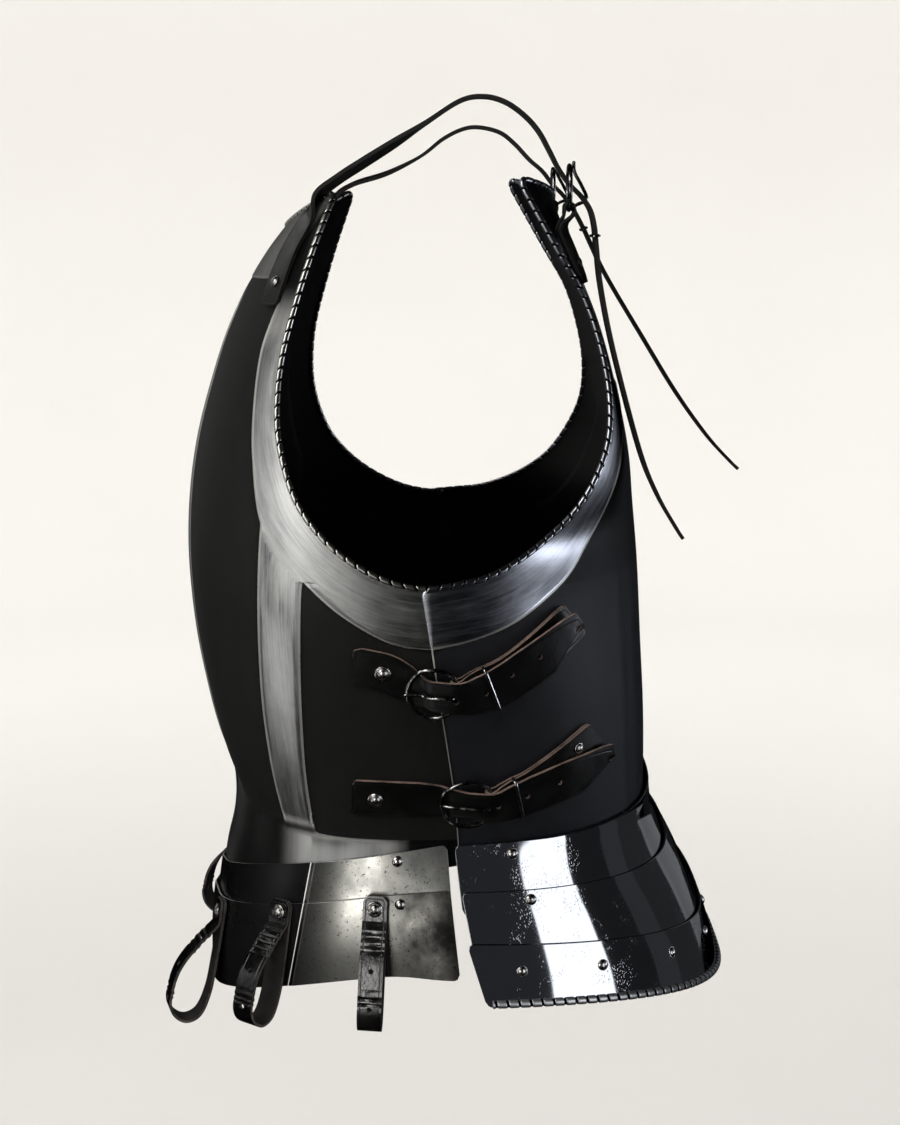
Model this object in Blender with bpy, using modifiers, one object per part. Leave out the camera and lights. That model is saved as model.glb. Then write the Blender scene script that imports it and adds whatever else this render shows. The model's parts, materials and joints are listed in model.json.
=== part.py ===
"""A black and polished steel cuirass: breastplate, backplate, a fauld of two lames in front and a culet of
three behind, joined by buckled leather side and shoulder straps. Metres, +Z up. The wearer faces -Y and the
wearer's left side is +X. The origin lies midway between the tops of the two shoulder straps."""

import math

import bmesh
import bpy
import numpy as np
from mathutils import Matrix, Vector

# Plate thickness, and the clear gap between two plates that slide or lie on one another.
PLATE = 0.0015
LAYER_GAP = 0.0016
TOUCH = 0.0003

# Leather thickness and width of each kind of strap.
BILLET_THICK = 0.0024
BUCKLE_STRAP_THICK = 0.0018
SHOULDER_THICK = 0.0026
LOOP_THICK = 0.0020
SIDE_STRAP_WIDTH = 0.028
SHOULDER_WIDTH = 0.022
LOOP_WIDTH = 0.017

# Horizontal sections of the body share one middle line along X, at this y.
MID_Y = -0.035
FRONT_ROUNDNESS = 2.6
RIDGE_SPREAD = 0.050
RIDGE_REACH = 0.190
WAIST_Z = -0.505

# Breastplate sections above the waist: height, half width, y of the centre line, height of its middle ridge.
FRONT_SECTIONS = (
    (-0.505, 0.1650, -0.1845, 0.014),
    (-0.475, 0.1715, -0.1960, 0.014),
    (-0.440, 0.1800, -0.2045, 0.014),
    (-0.390, 0.1895, -0.2130, 0.014),
    (-0.335, 0.1955, -0.2170, 0.014),
    (-0.290, 0.1900, -0.2155, 0.014),
    (-0.245, 0.1800, -0.2090, 0.013),
    (-0.200, 0.1710, -0.1970, 0.011),
    (-0.150, 0.1620, -0.1790, 0.008),
    (-0.100, 0.1510, -0.1510, 0.004),
    (-0.050, 0.1330, -0.1080, 0.001),
)
# Backplate sections above the waist: height, half width, y of the centre line, squareness.
BACK_SECTIONS = (
    (-0.505, 0.1650, 0.1330, 2.5),
    (-0.475, 0.1715, 0.1330, 2.4),
    (-0.440, 0.1800, 0.1320, 2.3),
    (-0.390, 0.1895, 0.1290, 2.15),
    (-0.335, 0.1955, 0.1262, 1.9),
    (-0.290, 0.1890, 0.1220, 1.85),
    (-0.245, 0.1790, 0.1152, 2.8),
    (-0.200, 0.1665, 0.1045, 3.7),
    (-0.150, 0.1530, 0.0900, 4.2),
    (-0.100, 0.1380, 0.0700, 4.3),
    (-0.045, 0.1180, 0.0500, 4.3),
)
# Sections of the skirt below the waist: share of the way to the hem, half width, y of the centre line, and in
# front the height of the middle ridge.
FRONT_SKIRT = (
    (0.00, 0.1650, -0.1845, 0.014),
    (0.20, 0.1685, -0.1870, 0.013),
    (0.36, 0.1715, -0.1930, 0.012),
    (0.53, 0.1750, -0.1975, 0.011),
    (0.75, 0.1780, -0.2020, 0.010),
    (1.00, 0.1800, -0.2035, 0.009),
)
BACK_SKIRT = (
    (0.00, 0.1650, 0.1330),
    (0.14, 0.1685, 0.1370),
    (0.28, 0.1725, 0.1445),
    (0.48, 0.1785, 0.1590),
    (0.74, 0.1850, 0.1750),
    (1.00, 0.1900, 0.1860),
)
BACK_SKIRT_SQUARENESS = 2.5
# Height of the hem at the side and at the centre line.
FRONT_HEM_SIDE, FRONT_HEM_CENTRE = -0.5990, -0.6650
BACK_HEM_SIDE, BACK_HEM_CENTRE = -0.6135, -0.6500
FRONT_HEM_FALL, BACK_HEM_FALL = 2, 4

# Edge of each body plate from the waist up: height on the centre line, then y and height on the side edge.
# The first rows climb the side seam, the rest follow the armhole to the shoulder tip.
BREAST_EDGE = (
    (-0.505, 0.0010, -0.505),
    (-0.470, -0.0010, -0.470),
    (-0.430, -0.0050, -0.430),
    (-0.390, -0.0100, -0.390),
    (-0.355, -0.0140, -0.350),
    (-0.330, -0.0180, -0.3155),
    (-0.320, -0.0360, -0.3150),
    (-0.308, -0.0565, -0.3105),
    (-0.295, -0.0785, -0.3000),
    (-0.280, -0.0985, -0.2850),
    (-0.262, -0.1150, -0.2655),
    (-0.240, -0.1245, -0.2450),
    (-0.215, -0.1305, -0.2200),
    (-0.190, -0.1315, -0.1950),
    (-0.162, -0.1280, -0.1650),
    (-0.133, -0.1195, -0.1330),
    (-0.106, -0.1080, -0.0970),
    (-0.081, -0.0925, -0.0560),
)
BACK_EDGE = (
    (-0.505, -0.0095, -0.505),
    (-0.470, -0.0120, -0.470),
    (-0.430, -0.0172, -0.430),
    (-0.390, -0.0230, -0.390),
    (-0.355, -0.0285, -0.350),
    (-0.330, -0.0340, -0.3160),
    (-0.322, -0.0110, -0.3130),
    (-0.312, 0.0100, -0.3095),
    (-0.300, 0.0310, -0.3010),
    (-0.286, 0.0520, -0.2880),
    (-0.268, 0.0700, -0.2720),
    (-0.246, 0.0845, -0.2500),
    (-0.220, 0.0940, -0.2250),
    (-0.190, 0.0955, -0.1970),
    (-0.160, 0.0905, -0.1660),
    (-0.128, 0.0790, -0.1310),
    (-0.095, 0.0600, -0.0980),
    (-0.062, 0.0305, -0.0470),
)
BACKPLATE_OUT = PLATE + LAYER_GAP
SEAM_RAMP = 0.007
BREAST_FLANGE = (0.155, 0.57)
BACK_FLANGE = (0.20, 0.20)
BODY_COLUMNS = 13
BODY_ROWS = 19

# Lames: body skirt they follow, layer number outside the body, share of the way to the hem at the top edge
# (side, centre) and at the bottom edge, and y of the free end edge at top and bottom.
LAMES = {
    "fauld_upper_lame": ("front", 1, (0.005, 0.46), (0.48, 0.73), (-0.0170, -0.0140)),
    "fauld_lower_lame": ("front", 2, (0.325, 0.60), (0.97, 1.00), (-0.0150, -0.0090)),
    "culet_upper_lame": ("back", 2, (0.005, -0.03), (0.44, 0.45), (-0.0120, -0.0060)),
    "culet_middle_lame": ("back", 3, (0.29, 0.30), (0.86, 0.89), (-0.0070, 0.0060)),
    "culet_lower_lame": ("back", 4, (0.60, 0.68), (1.00, 1.00), (-0.0030, 0.0110)),
}
LAME_COLUMNS = 13
LAME_ROWS = 5

# Side straps. Stations of the billet's middle: y, z, height over the plate under it, half width.
UPPER_BILLET = (
    (-0.0795, -0.3710, 0.0016, 0.0105),
    (-0.0760, -0.3712, 0.0016, 0.0140),
    (-0.0590, -0.3735, 0.0016, 0.0140),
    (-0.0480, -0.3790, 0.0017, 0.0130),
    (-0.0400, -0.3840, 0.0022, 0.0110),
    (-0.0260, -0.3865, 0.0070, 0.0100),
    (-0.0100, -0.3875, 0.0113, 0.0110),
    (0.0030, -0.3865, 0.0092, 0.0130),
    (0.0180, -0.3820, 0.0070, 0.0140),
    (0.0350, -0.3720, 0.0072, 0.0140),
    (0.0530, -0.3610, 0.0092, 0.0135),
    (0.0630, -0.3545, 0.0112, 0.0110),
    (0.0680, -0.3515, 0.0122, 0.0070),
)
UPPER_BUCKLE_STRAP = ((-0.0090, -0.3868), (0.0280, -0.3745), (0.0680, -0.3470))
UPPER_RING = (-0.0262, -0.3865)
UPPER_RIVETS = ((-0.0600, -0.3733), (0.0590, -0.3520))
LOWER_BILLET = (
    (-0.0830, -0.4690, 0.0016, 0.0105),
    (-0.0790, -0.4692, 0.0016, 0.0140),
    (-0.0600, -0.4695, 0.0016, 0.0140),
    (-0.0360, -0.4700, 0.0016, 0.0135),
    (-0.0170, -0.4705, 0.0022, 0.0110),
    (-0.0020, -0.4708, 0.0070, 0.0100),
    (0.0140, -0.4708, 0.0112, 0.0110),
    (0.0270, -0.4690, 0.0092, 0.0130),
    (0.0430, -0.4650, 0.0072, 0.0140),
    (0.0620, -0.4595, 0.0070, 0.0140),
    (0.0800, -0.4562, 0.0074, 0.0135),
    (0.0905, -0.4542, 0.0084, 0.0115),
    (0.0950, -0.4530, 0.0090, 0.0080),
)
LOWER_BUCKLE_STRAP = ((0.0150, -0.4705), (0.0460, -0.4605), (0.0870, -0.4350))
LOWER_RING = (-0.0022, -0.4708)
LOWER_RIVETS = ((-0.0665, -0.4694), (0.0725, -0.4385))

# Shoulder straps. On the chest: height, x, half width.
SHOULDER_ON_CHEST = (
    (-0.1340, 0.1175, 0.0045),
    (-0.1300, 0.1168, 0.0110),
    (-0.1150, 0.1135, 0.0110),
    (-0.0960, 0.1078, 0.0110),
    (-0.0770, 0.1005, 0.0110),
)
# Free over the shoulder and down the back: x, y, z of the strap's middle, half width.
SHOULDER_FREE = {
    "left": (
        (0.0970, -0.1075, -0.0605, 0.0110),
        (0.0960, -0.0925, -0.0485, 0.0110),
        (0.0965, -0.0745, -0.0372, 0.0110),
        (0.0980, -0.0520, -0.0235, 0.0110),
        (0.1000, -0.0320, -0.0110, 0.0110),
        (0.1010, -0.0080, 0.0038, 0.0110),
        (0.1010, 0.0085, 0.0065, 0.0110),
        (0.1005, 0.0230, 0.0027, 0.0110),
        (0.1000, 0.0360, -0.0062, 0.0110),
        (0.0990, 0.0455, -0.0165, 0.0110),
        (0.0985, 0.0525, -0.0285, 0.0105),
        (0.0980, 0.0590, -0.0405, 0.0090),
        (0.0980, 0.0665, -0.0510, 0.0085),
        (0.0980, 0.0755, -0.0600, 0.0095),
        (0.0980, 0.0815, -0.0690, 0.0110),
        (0.0980, 0.0845, -0.0800, 0.0110),
        (0.0985, 0.0860, -0.0930, 0.0110),
        (0.0990, 0.0895, -0.1210, 0.0110),
        (0.1000, 0.0990, -0.1650, 0.0110),
        (0.1010, 0.1185, -0.2340, 0.0110),
        (0.1020, 0.1315, -0.2660, 0.0110),
        (0.1025, 0.1460, -0.2910, 0.0110),
        (0.1025, 0.1510, -0.2985, 0.0060),
    ),
    "right": (
        (0.0970, -0.1075, -0.0612, 0.0110),
        (0.0960, -0.0920, -0.0510, 0.0110),
        (0.0960, -0.0650, -0.0425, 0.0110),
        (0.0980, -0.0385, -0.0295, 0.0110),
        (0.0990, -0.0205, -0.0160, 0.0110),
        (0.1000, -0.0050, -0.0085, 0.0110),
        (0.1000, 0.0080, -0.0070, 0.0110),
        (0.1000, 0.0245, -0.0110, 0.0110),
        (0.0995, 0.0365, -0.0200, 0.0110),
        (0.0985, 0.0480, -0.0320, 0.0105),
        (0.0980, 0.0585, -0.0410, 0.0090),
        (0.0980, 0.0665, -0.0510, 0.0085),
        (0.0980, 0.0755, -0.0600, 0.0095),
        (0.0980, 0.0830, -0.0700, 0.0110),
        (0.0980, 0.0920, -0.0860, 0.0110),
        (0.0985, 0.1095, -0.1210, 0.0110),
        (0.0990, 0.1415, -0.1730, 0.0110),
        (0.0990, 0.1700, -0.2180, 0.0110),
        (0.0990, 0.1960, -0.2530, 0.0110),
        (0.0990, 0.2160, -0.2745, 0.0110),
        (0.0990, 0.2220, -0.2800, 0.0060),
    ),
}
SHOULDER_BUCKLE = (0.0980, 0.0670, -0.0540)
SHOULDER_STRAP_END = -0.1200
SHOULDER_RIVETS = ((0.1142, -0.1180), (0.0980, -0.1060))

# Belt loops for hanging tassets: y on the lower fauld lame, share of the way to the hem, bulge, drop.
TASSET_LOOPS = (
    ("side", -0.0670, 0.455, 0.0130, 0.083),
    ("corner", -0.1340, 0.490, 0.0310, 0.078),
    ("front", -0.1840, 0.590, 0.0310, 0.085),
)
# Outline of a loop from its inner top end to its outer one: share of the bulge, share of the drop.
LOOP_SHAPE = (
    (0.00, -0.11),
    (0.00, 0.15),
    (0.02, 0.45),
    (0.06, 0.72),
    (0.22, 0.93),
    (0.55, 1.00),
    (0.88, 0.93),
    (1.00, 0.78),
    (0.86, 0.52),
    (0.44, 0.28),
    (0.07, 0.13),
    (0.00, 0.07),
    (0.00, -0.11),
)

# Rivets that each lame turns on: skirt, layer, y, share of the way to the hem, pieces held.
PIVOTS = (
    ("fauld_upper", "front", 1, -0.0520, 0.130, ("fauld_upper_lame", "breastplate")),
    ("fauld_lower", "front", 2, -0.0500, 0.430, ("fauld_lower_lame", "fauld_upper_lame")),
    ("culet_upper", "back", 2, 0.0290, 0.070, ("culet_upper_lame", "backplate")),
    ("culet_middle", "back", 3, 0.0420, 0.350, ("culet_middle_lame", "culet_upper_lame")),
)
# Bodies that turn on their pivots: the moving body above, if any, and how their pieces' names start.
MOVING_BODIES = {
    "fauld_upper": (None, ("fauld_upper",)),
    "fauld_lower": ("fauld_upper", ("fauld_lower", "tasset")),
    "culet_upper": (None, ("culet_upper",)),
    "culet_middle": ("culet_upper", ("culet_middle", "culet_lower")),
}
# The row that fixes the lowest culet lame to the one above: angles from the centre of the back, and share.
CULET_ROW_ANGLES = (0, 19, 37, 54, 70)
CULET_ROW_SHARE = 0.775

# Rivets: head radius, head height and shank radius.
RIVET_HEAD, RIVET_RISE, RIVET_SHANK = 0.0040, 0.0020, 0.0016
WASHER_RADIUS, WASHER_THICK = 0.0055, 0.0008
LEAF_CLEAR = 0.0004
FOLD_CLEAR, FOLD_NARROWING = 0.0009, 0.66
RIVET_SLACK = 0.0016
HOLE_CLEAR, HOLE_REACH = 0.0005, 0.010
CLENCH_RADIUS, CLENCH_THICK = 0.0032, 0.0010

RING_WIRE = 0.0030
# How far the ring stands off the billet, and the straight leg of a folded strap beside the bar.
RING_STAND = 0.0022
FOLD_LEG = 0.004
# Slots the tongues pass through: size of the cutter, and where it sits from the ring's centre.
SIDE_SLOT = (0.0105, 0.0045, 0.011)
SIDE_SLOT_SHARE, SIDE_SLOT_LIFT = 0.80, 0.0042
SHOULDER_SLOT = (0.0045, 0.026, 0.011)
SHOULDER_SLOT_BEHIND, SLOT_FROM_CENTRE = 0.006, 0.72
SIDE_RING_RADIUS = 0.0175
SHOULDER_RING_RADIUS = 0.0150
# Tongues, from the bar to the tip: place along the ring in ring radii, and height over the bar.
SIDE_TONGUE = ((0.98, 0.0), (0.74, 0.0040), (0.62, 0.0088), (0.10, 0.0070), (-0.60, 0.0034), (-1.12, 0.0031))
SHOULDER_TONGUE = (
    (-0.98, 0.0), (-0.78, 0.0050), (-0.50, 0.0120), (0.10, 0.0085), (0.70, 0.0036), (1.20, 0.0030)
)

# Finishes: colour, roughness, metallic.
BLACK_STEEL = ((0.012, 0.012, 0.014), 0.30, 0.9)
BRIGHT_STEEL = ((0.45, 0.45, 0.44), 0.35, 1.0)
BLACK_LEATHER = ((0.016, 0.014, 0.013), 0.50, 0.0)


def clear_scene():
    for obj in list(bpy.data.objects):
        bpy.data.objects.remove(obj, do_unlink=True)


def collection(name):
    """The scene's collection of that name, made at its first use."""
    found = bpy.context.scene.collection.children.get(name)
    if found is None:
        found = bpy.data.collections.new(name)
        bpy.context.scene.collection.children.link(found)
    return found


def material(name, finish):
    colour, roughness, metallic = finish
    made = bpy.data.materials.new(name)
    made.use_nodes = True
    shader = made.node_tree.nodes["Principled BSDF"]
    shader.inputs["Base Color"].default_value = (*colour, 1.0)
    shader.inputs["Roughness"].default_value = roughness
    shader.inputs["Metallic"].default_value = metallic
    return made


def smooth(table, column, x):
    """The table's column at x, on a curve through its rows with the slope of each row's neighbours."""
    rows = sorted((row[0], row[column]) for row in table)
    xs = [row[0] for row in rows]
    ys = [row[1] for row in rows]
    x = min(max(x, xs[0]), xs[-1])
    i = max(0, min(len(xs) - 2, int(np.searchsorted(xs, x)) - 1))

    def slope(k):
        a, b = max(k - 1, 0), min(k + 1, len(xs) - 1)
        return (ys[b] - ys[a]) / (xs[b] - xs[a])

    span = xs[i + 1] - xs[i]
    t = (x - xs[i]) / span
    return (
        (2 * t**3 - 3 * t**2 + 1) * ys[i]
        + (t**3 - 2 * t**2 + t) * span * slope(i)
        + (3 * t**2 - 2 * t**3) * ys[i + 1]
        + (t**3 - t**2) * span * slope(i + 1)
    )


def section(height, face):
    """Half width, depth from the middle line, squareness and middle ridge of the body at a height."""
    if face == "front":
        ridge = smooth(FRONT_SECTIONS, 3, height)
        depth = MID_Y - smooth(FRONT_SECTIONS, 2, height) - ridge
        return smooth(FRONT_SECTIONS, 1, height), depth, FRONT_ROUNDNESS, ridge
    return (
        smooth(BACK_SECTIONS, 1, height),
        smooth(BACK_SECTIONS, 2, height) - MID_Y,
        smooth(BACK_SECTIONS, 3, height),
        0.0,
    )


def skirt_section(share, face):
    if face == "front":
        ridge = smooth(FRONT_SKIRT, 3, share)
        depth = MID_Y - smooth(FRONT_SKIRT, 2, share) - ridge
        return smooth(FRONT_SKIRT, 1, share), depth, FRONT_ROUNDNESS, ridge
    return smooth(BACK_SKIRT, 1, share), smooth(BACK_SKIRT, 2, share) - MID_Y, BACK_SKIRT_SQUARENESS, 0.0


def on_section(shape, angle, out):
    """x and depth on a section at an angle from its centre line, moved out; 90 degrees is the side."""
    half_width, depth, squareness, ridge = shape
    width, deep = half_width + out, depth + out
    s, c = abs(math.sin(angle)), abs(math.cos(angle))
    radius = ((s / width) ** squareness + (c / deep) ** squareness) ** (-1 / squareness)
    x = radius * math.sin(angle)
    return x, radius * math.cos(angle) + ridge_at(ridge, x)


def ridge_at(ridge, x):
    """How far the middle ridge stands out at a distance from the centre line."""
    at_side = math.exp(-RIDGE_REACH / RIDGE_SPREAD)
    return ridge * (math.exp(-abs(x) / RIDGE_SPREAD) - at_side * abs(x) / RIDGE_REACH)


def angle_at(shape, y, face, out=0.0):
    """The angle at which a section passes a given y."""
    half_width, depth, squareness, _ = shape
    away = (MID_Y - y) if face == "front" else (y - MID_Y)
    share = min(abs(away) / (depth + out), 0.9999)
    x = (half_width + out) * (1 - share**squareness) ** (1 / squareness)
    return math.atan2(x, away)


def round_section(front_shape, back_shape, angle, face, out):
    """x and y at an angle from the face's centre line. Past the side the section is the other face's."""
    own, other = (front_shape, back_shape) if face == "front" else (back_shape, front_shape)
    if angle <= math.pi / 2:
        x, deep = on_section(own, angle, out)
    else:
        x, deep = on_section(other, math.pi - angle, out)
        deep = -deep
    return x, MID_Y - deep if face == "front" else MID_Y + deep


def body_point(height, angle, face, out=0.0):
    x, y = round_section(section(height, "front"), section(height, "back"), angle, face, out)
    return Vector((x, y, height))


def skirt_drop(angle, face):
    """Height of the hem at an angle: it falls from the side to the centre line."""
    along = max(0.0, math.cos(min(angle, math.pi / 2)))
    if face == "front":
        return FRONT_HEM_SIDE + (FRONT_HEM_CENTRE - FRONT_HEM_SIDE) * along**FRONT_HEM_FALL
    return BACK_HEM_SIDE + (BACK_HEM_CENTRE - BACK_HEM_SIDE) * along**BACK_HEM_FALL


def skirt_point(share, angle, face, out=0.0):
    x, y = round_section(skirt_section(share, "front"), skirt_section(share, "back"), angle, face, out)
    return Vector((x, y, WAIST_Z + share * (skirt_drop(angle, face) - WAIST_Z)))


def layer(number):
    return number * (PLATE + LAYER_GAP)


def grid_object(name, rows, thickness, where, finish, mirrored=False):
    """A sheet through rows of points, given its thickness on the side away from its face."""
    mesh = bpy.data.meshes.new(name)
    built = bmesh.new()
    placed = [[built.verts.new(p) for p in row] for row in rows]
    for low, high in zip(placed, placed[1:]):
        for a, b, c, d in zip(low, low[1:], high[1:], high):
            built.faces.new((a, b, c, d))
    built.to_mesh(mesh)
    built.free()
    mesh.shade_smooth()
    obj = bpy.data.objects.new(name, mesh)
    where.objects.link(obj)
    mesh.materials.append(material(name, finish))
    if mirrored:
        mirror = obj.modifiers.new("other_half", "MIRROR")
        mirror.merge_threshold = 0.0001
        mirror.use_clip = True
    shell = obj.modifiers.new("thickness", "SOLIDIFY")
    shell.thickness = thickness
    shell.use_even_offset = True
    return obj


def face_outwards(rows, outward):
    """The rows in the order that makes the sheet's face look along outward at its middle."""
    low = rows[len(rows) // 2]
    high = rows[len(rows) // 2 + 1] if len(rows) > 2 else rows[-1]
    k = len(low) // 2
    across = low[k] - low[k - 1]
    along = high[k] - low[k]
    if across.cross(along).dot(outward) < 0:
        return [list(reversed(row)) for row in rows]
    return rows


def body_rows(edge, face, flange, out):
    """Rows of half a body plate: its flange, then up to the neckline."""
    rows = []
    for share in np.linspace(1, 0, 4)[:-1]:
        row = []
        for s in np.linspace(0, 1, BODY_COLUMNS):
            reach = share * (flange[1] + (flange[0] - flange[1]) * s**1.15)
            end = angle_at(skirt_section(reach, face), edge[0][1], face, out)
            row.append(skirt_point(reach, s * end, face, out))
        rows.append(row)
    count = len(edge) - 1
    for r in np.linspace(0, count, BODY_ROWS):
        i = min(int(r), count - 1)
        t = r - i
        centre, y, side = ((1 - t) * np.array(edge[i]) + t * np.array(edge[i + 1])).tolist()
        end = angle_at(section(side, face), y, face, out)
        row = []
        for s in np.linspace(0, 1, BODY_COLUMNS):
            height = centre + (side - centre) * s**2
            row.append(body_point(height, s * end, face, out))
        rows.append(row)
    return rows


def lame_rows(lame):
    face, number, top, bottom, ends = lame
    out = layer(number)
    rows = []
    for t in np.linspace(0, 1, LAME_ROWS):
        row = []
        for s in np.linspace(0, 1, LAME_COLUMNS):
            high = top[1] + (top[0] - top[1]) * s**1.15
            low = bottom[1] + (bottom[0] - bottom[1]) * s**1.15
            share = high + (low - high) * t
            y = ends[0] + (ends[1] - ends[0]) * t
            end = angle_at(skirt_section(share, face), y, face, out)
            row.append(skirt_point(share, s * end, face, out))
        rows.append(row)
    return rows


def plate(name, rows, face, parts):
    outward = Vector((0.7, -0.7 if face == "front" else 0.7, 0))
    obj = grid_object(name, face_outwards(rows, outward), PLATE, parts, BLACK_STEEL, mirrored=True)
    obj.modifiers["thickness"].offset = -1
    return obj


def skin_out(y, z):
    """How far the outer skin at (y, z) stands off the breastplate's surface: the backplate laps over it."""
    seam = smooth([(row[2], row[1]) for row in BACK_EDGE[:6]], 1, z)
    return BACKPLATE_OUT * min(max((y - seam + SEAM_RAMP) / SEAM_RAMP, 0.0), 1.0)


def side_x(y, z):
    """Half width of the body's outer skin where a line along X at (y, z) meets it."""
    face = "front" if y < MID_Y else "back"
    half_width, depth, squareness, _ = section(max(z, WAIST_Z), face)
    out = skin_out(y, z)
    away = min(abs(y - MID_Y) / (depth + out), 0.999)
    return (half_width + out) * (1 - away**squareness) ** (1 / squareness)


def side_frame(y, z):
    """The point on the side of the body at (y, z) and its outward direction."""
    d = 0.004
    slope_y = (side_x(y + d, z) - side_x(y - d, z)) / (2 * d)
    slope_z = (side_x(y, z + d) - side_x(y, z - d)) / (2 * d)
    return Vector((side_x(y, z), y, z)), Vector((1, -slope_y, -slope_z)).normalized()


def face_y(x, height, face):
    """y of the outer skin of the breastplate's or backplate's face at x and a height."""
    half_width, depth, squareness, ridge = section(height, face)
    out = BACKPLATE_OUT if face == "back" else 0.0
    deep = (depth + out) * (1 - (x / (half_width + out)) ** squareness) ** (1 / squareness)
    return MID_Y - deep - ridge_at(ridge, x) if face == "front" else MID_Y + deep


def face_frame(x, height, face):
    """A point on the face, the direction across it and its outward direction."""
    d = 0.003
    point = Vector((x, face_y(x, height, face), height))
    across = Vector((2 * d, face_y(x + d, height, face) - face_y(x - d, height, face), 0)).normalized()
    up = Vector((0, face_y(x, height + d, face) - face_y(x, height - d, face), 2 * d)).normalized()
    outward = across.cross(up) if face == "front" else up.cross(across)
    return point, across, outward.normalized()


def skirt_frame(y, share, face, out):
    """A point on a lame's outer skin at y, the direction down it and its outward direction."""
    angle = angle_at(skirt_section(share, face), y, face, out)
    d = 0.02
    point = skirt_point(share, angle, face, out)
    down = skirt_point(share + d, angle, face, out) - skirt_point(share - d, angle, face, out)
    along = skirt_point(share, angle + d, face, out) - skirt_point(share, angle - d, face, out)
    outward = down.cross(along).normalized()
    if outward.x < 0:
        outward = -outward
    return point, down.normalized(), outward


def curve_through(stations, steps):
    """Points on a smooth curve through the stations, each a tuple of numbers."""
    points = [np.array(s, float) for s in stations]
    made = []
    for i in range(len(points) - 1):
        before = points[max(i - 1, 0)]
        a, b = points[i], points[i + 1]
        after = points[min(i + 2, len(points) - 1)]
        for k in range(steps):
            t = k / steps
            made.append(
                0.5
                * (
                    2 * a
                    + (b - before) * t
                    + (2 * before - 5 * a + 4 * b - after) * t**2
                    + (3 * a - before - 3 * b + after) * t**3
                )
            )
    made.append(points[-1])
    return made


def flip(vector, side):
    return Vector((vector.x * side, vector.y, vector.z))


def strap(name, rows, thickness, parts):
    """A leather strap, with the rows on the middle of its thickness."""
    obj = grid_object(name, rows, thickness, parts, BLACK_LEATHER)
    obj.modifiers["thickness"].offset = 0
    return obj


def raised(y, z, height, side):
    point, outward = side_frame(y, z)
    return flip(point + outward * height, side)


def ring_sag(v, radius):
    """How far a ring has curved back from its foremost point at a distance v to one side."""
    return radius - math.sqrt(max(radius**2 - v**2, 0.0))


def side_ribbon(stations, side, across_count=3):
    """Rows across a strap that lies on the body's side.
    Stations: y, z, height, half width, slope, share of the ring's sag."""
    rows = []
    for y, z, height, half, slope, sag in stations:
        row = []
        for k in np.linspace(-1, 1, across_count):
            v = half * k
            back = sag * ring_sag(v, SIDE_RING_RADIUS)
            row.append(
                raised(
                    y - math.sin(slope) * v - math.cos(slope) * back,
                    z + math.cos(slope) * v - math.sin(slope) * back,
                    height,
                    side,
                )
            )
        rows.append(row)
    return rows


def with_slope(points):
    """The points, each with the direction of the strap there in the side view added."""
    made = []
    for i, p in enumerate(points):
        a, b = points[max(i - 1, 0)], points[min(i + 1, len(points) - 1)]
        made.append((*p[:4], math.atan2(b[1] - a[1], b[0] - a[0]), 0.0))
    return made


def buckle_strap_stations(route, half):
    """A strap folded round the buckle's bar: its lower leaf, the fold, and the upper leaf back to the end."""
    (bar_y, bar_z), middle, (end_y, end_z) = route
    leaf = BUCKLE_STRAP_THICK
    low = TOUCH + leaf / 2 + LEAF_CLEAR
    turn = RING_WIRE / 2 + leaf / 2 + FOLD_CLEAR
    flat = low + leaf + LEAF_CLEAR
    narrow = half * FOLD_NARROWING
    first = math.atan2(middle[1] - bar_z, middle[0] - bar_y)
    tip = math.atan2(end_z - middle[1], end_y - middle[0])

    def from_bar(along, width, slope, sag, lift):
        return (bar_y + along, bar_z + along * math.tan(first), width, slope, sag, lift)

    route_points = curve_through(
        (
            (end_y, end_z, half * 0.80, tip, 0.0, 0.0),
            (end_y - 0.003, end_z - 0.003 * math.tan(tip), half, tip, 0.0, 0.0),
            (middle[0], middle[1], half, (first + tip) / 2, 0.0, 0.0),
            from_bar(0.016, half * 0.85, first, 0.3, 0.0008),
            from_bar(0.005, narrow, first * 0.3, 1.0, 0.0027),
        ),
        2,
    )[1:]
    lower = [(y, z, low, w, a, max(sag, 0.0)) for y, z, w, a, sag, _ in route_points]
    fold = []
    for a in np.linspace(-90, -270, 6):
        u = turn * math.cos(math.radians(a))
        rise = low + turn + turn * math.sin(math.radians(a))
        fold.append((bar_y + u, bar_z, rise, narrow, 0.0, 1.0))
    upper = [(y, z, flat + lift, w, a, max(sag, 0.0)) for y, z, w, a, sag, lift in route_points]
    return lower + fold + upper[::-1], low + turn


def ring_buckle(name, ring_points, tongue_points, parts):
    """A round wire buckle whose ring passes the given points, with its tongue joined to the bar side."""
    ring = wire(name, ring_points, RING_WIRE / 2, True, parts)
    tongue = wire(name + "_tongue_wire", tongue_points, RING_WIRE * 0.42, False, parts)
    return united(ring, tongue)


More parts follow.
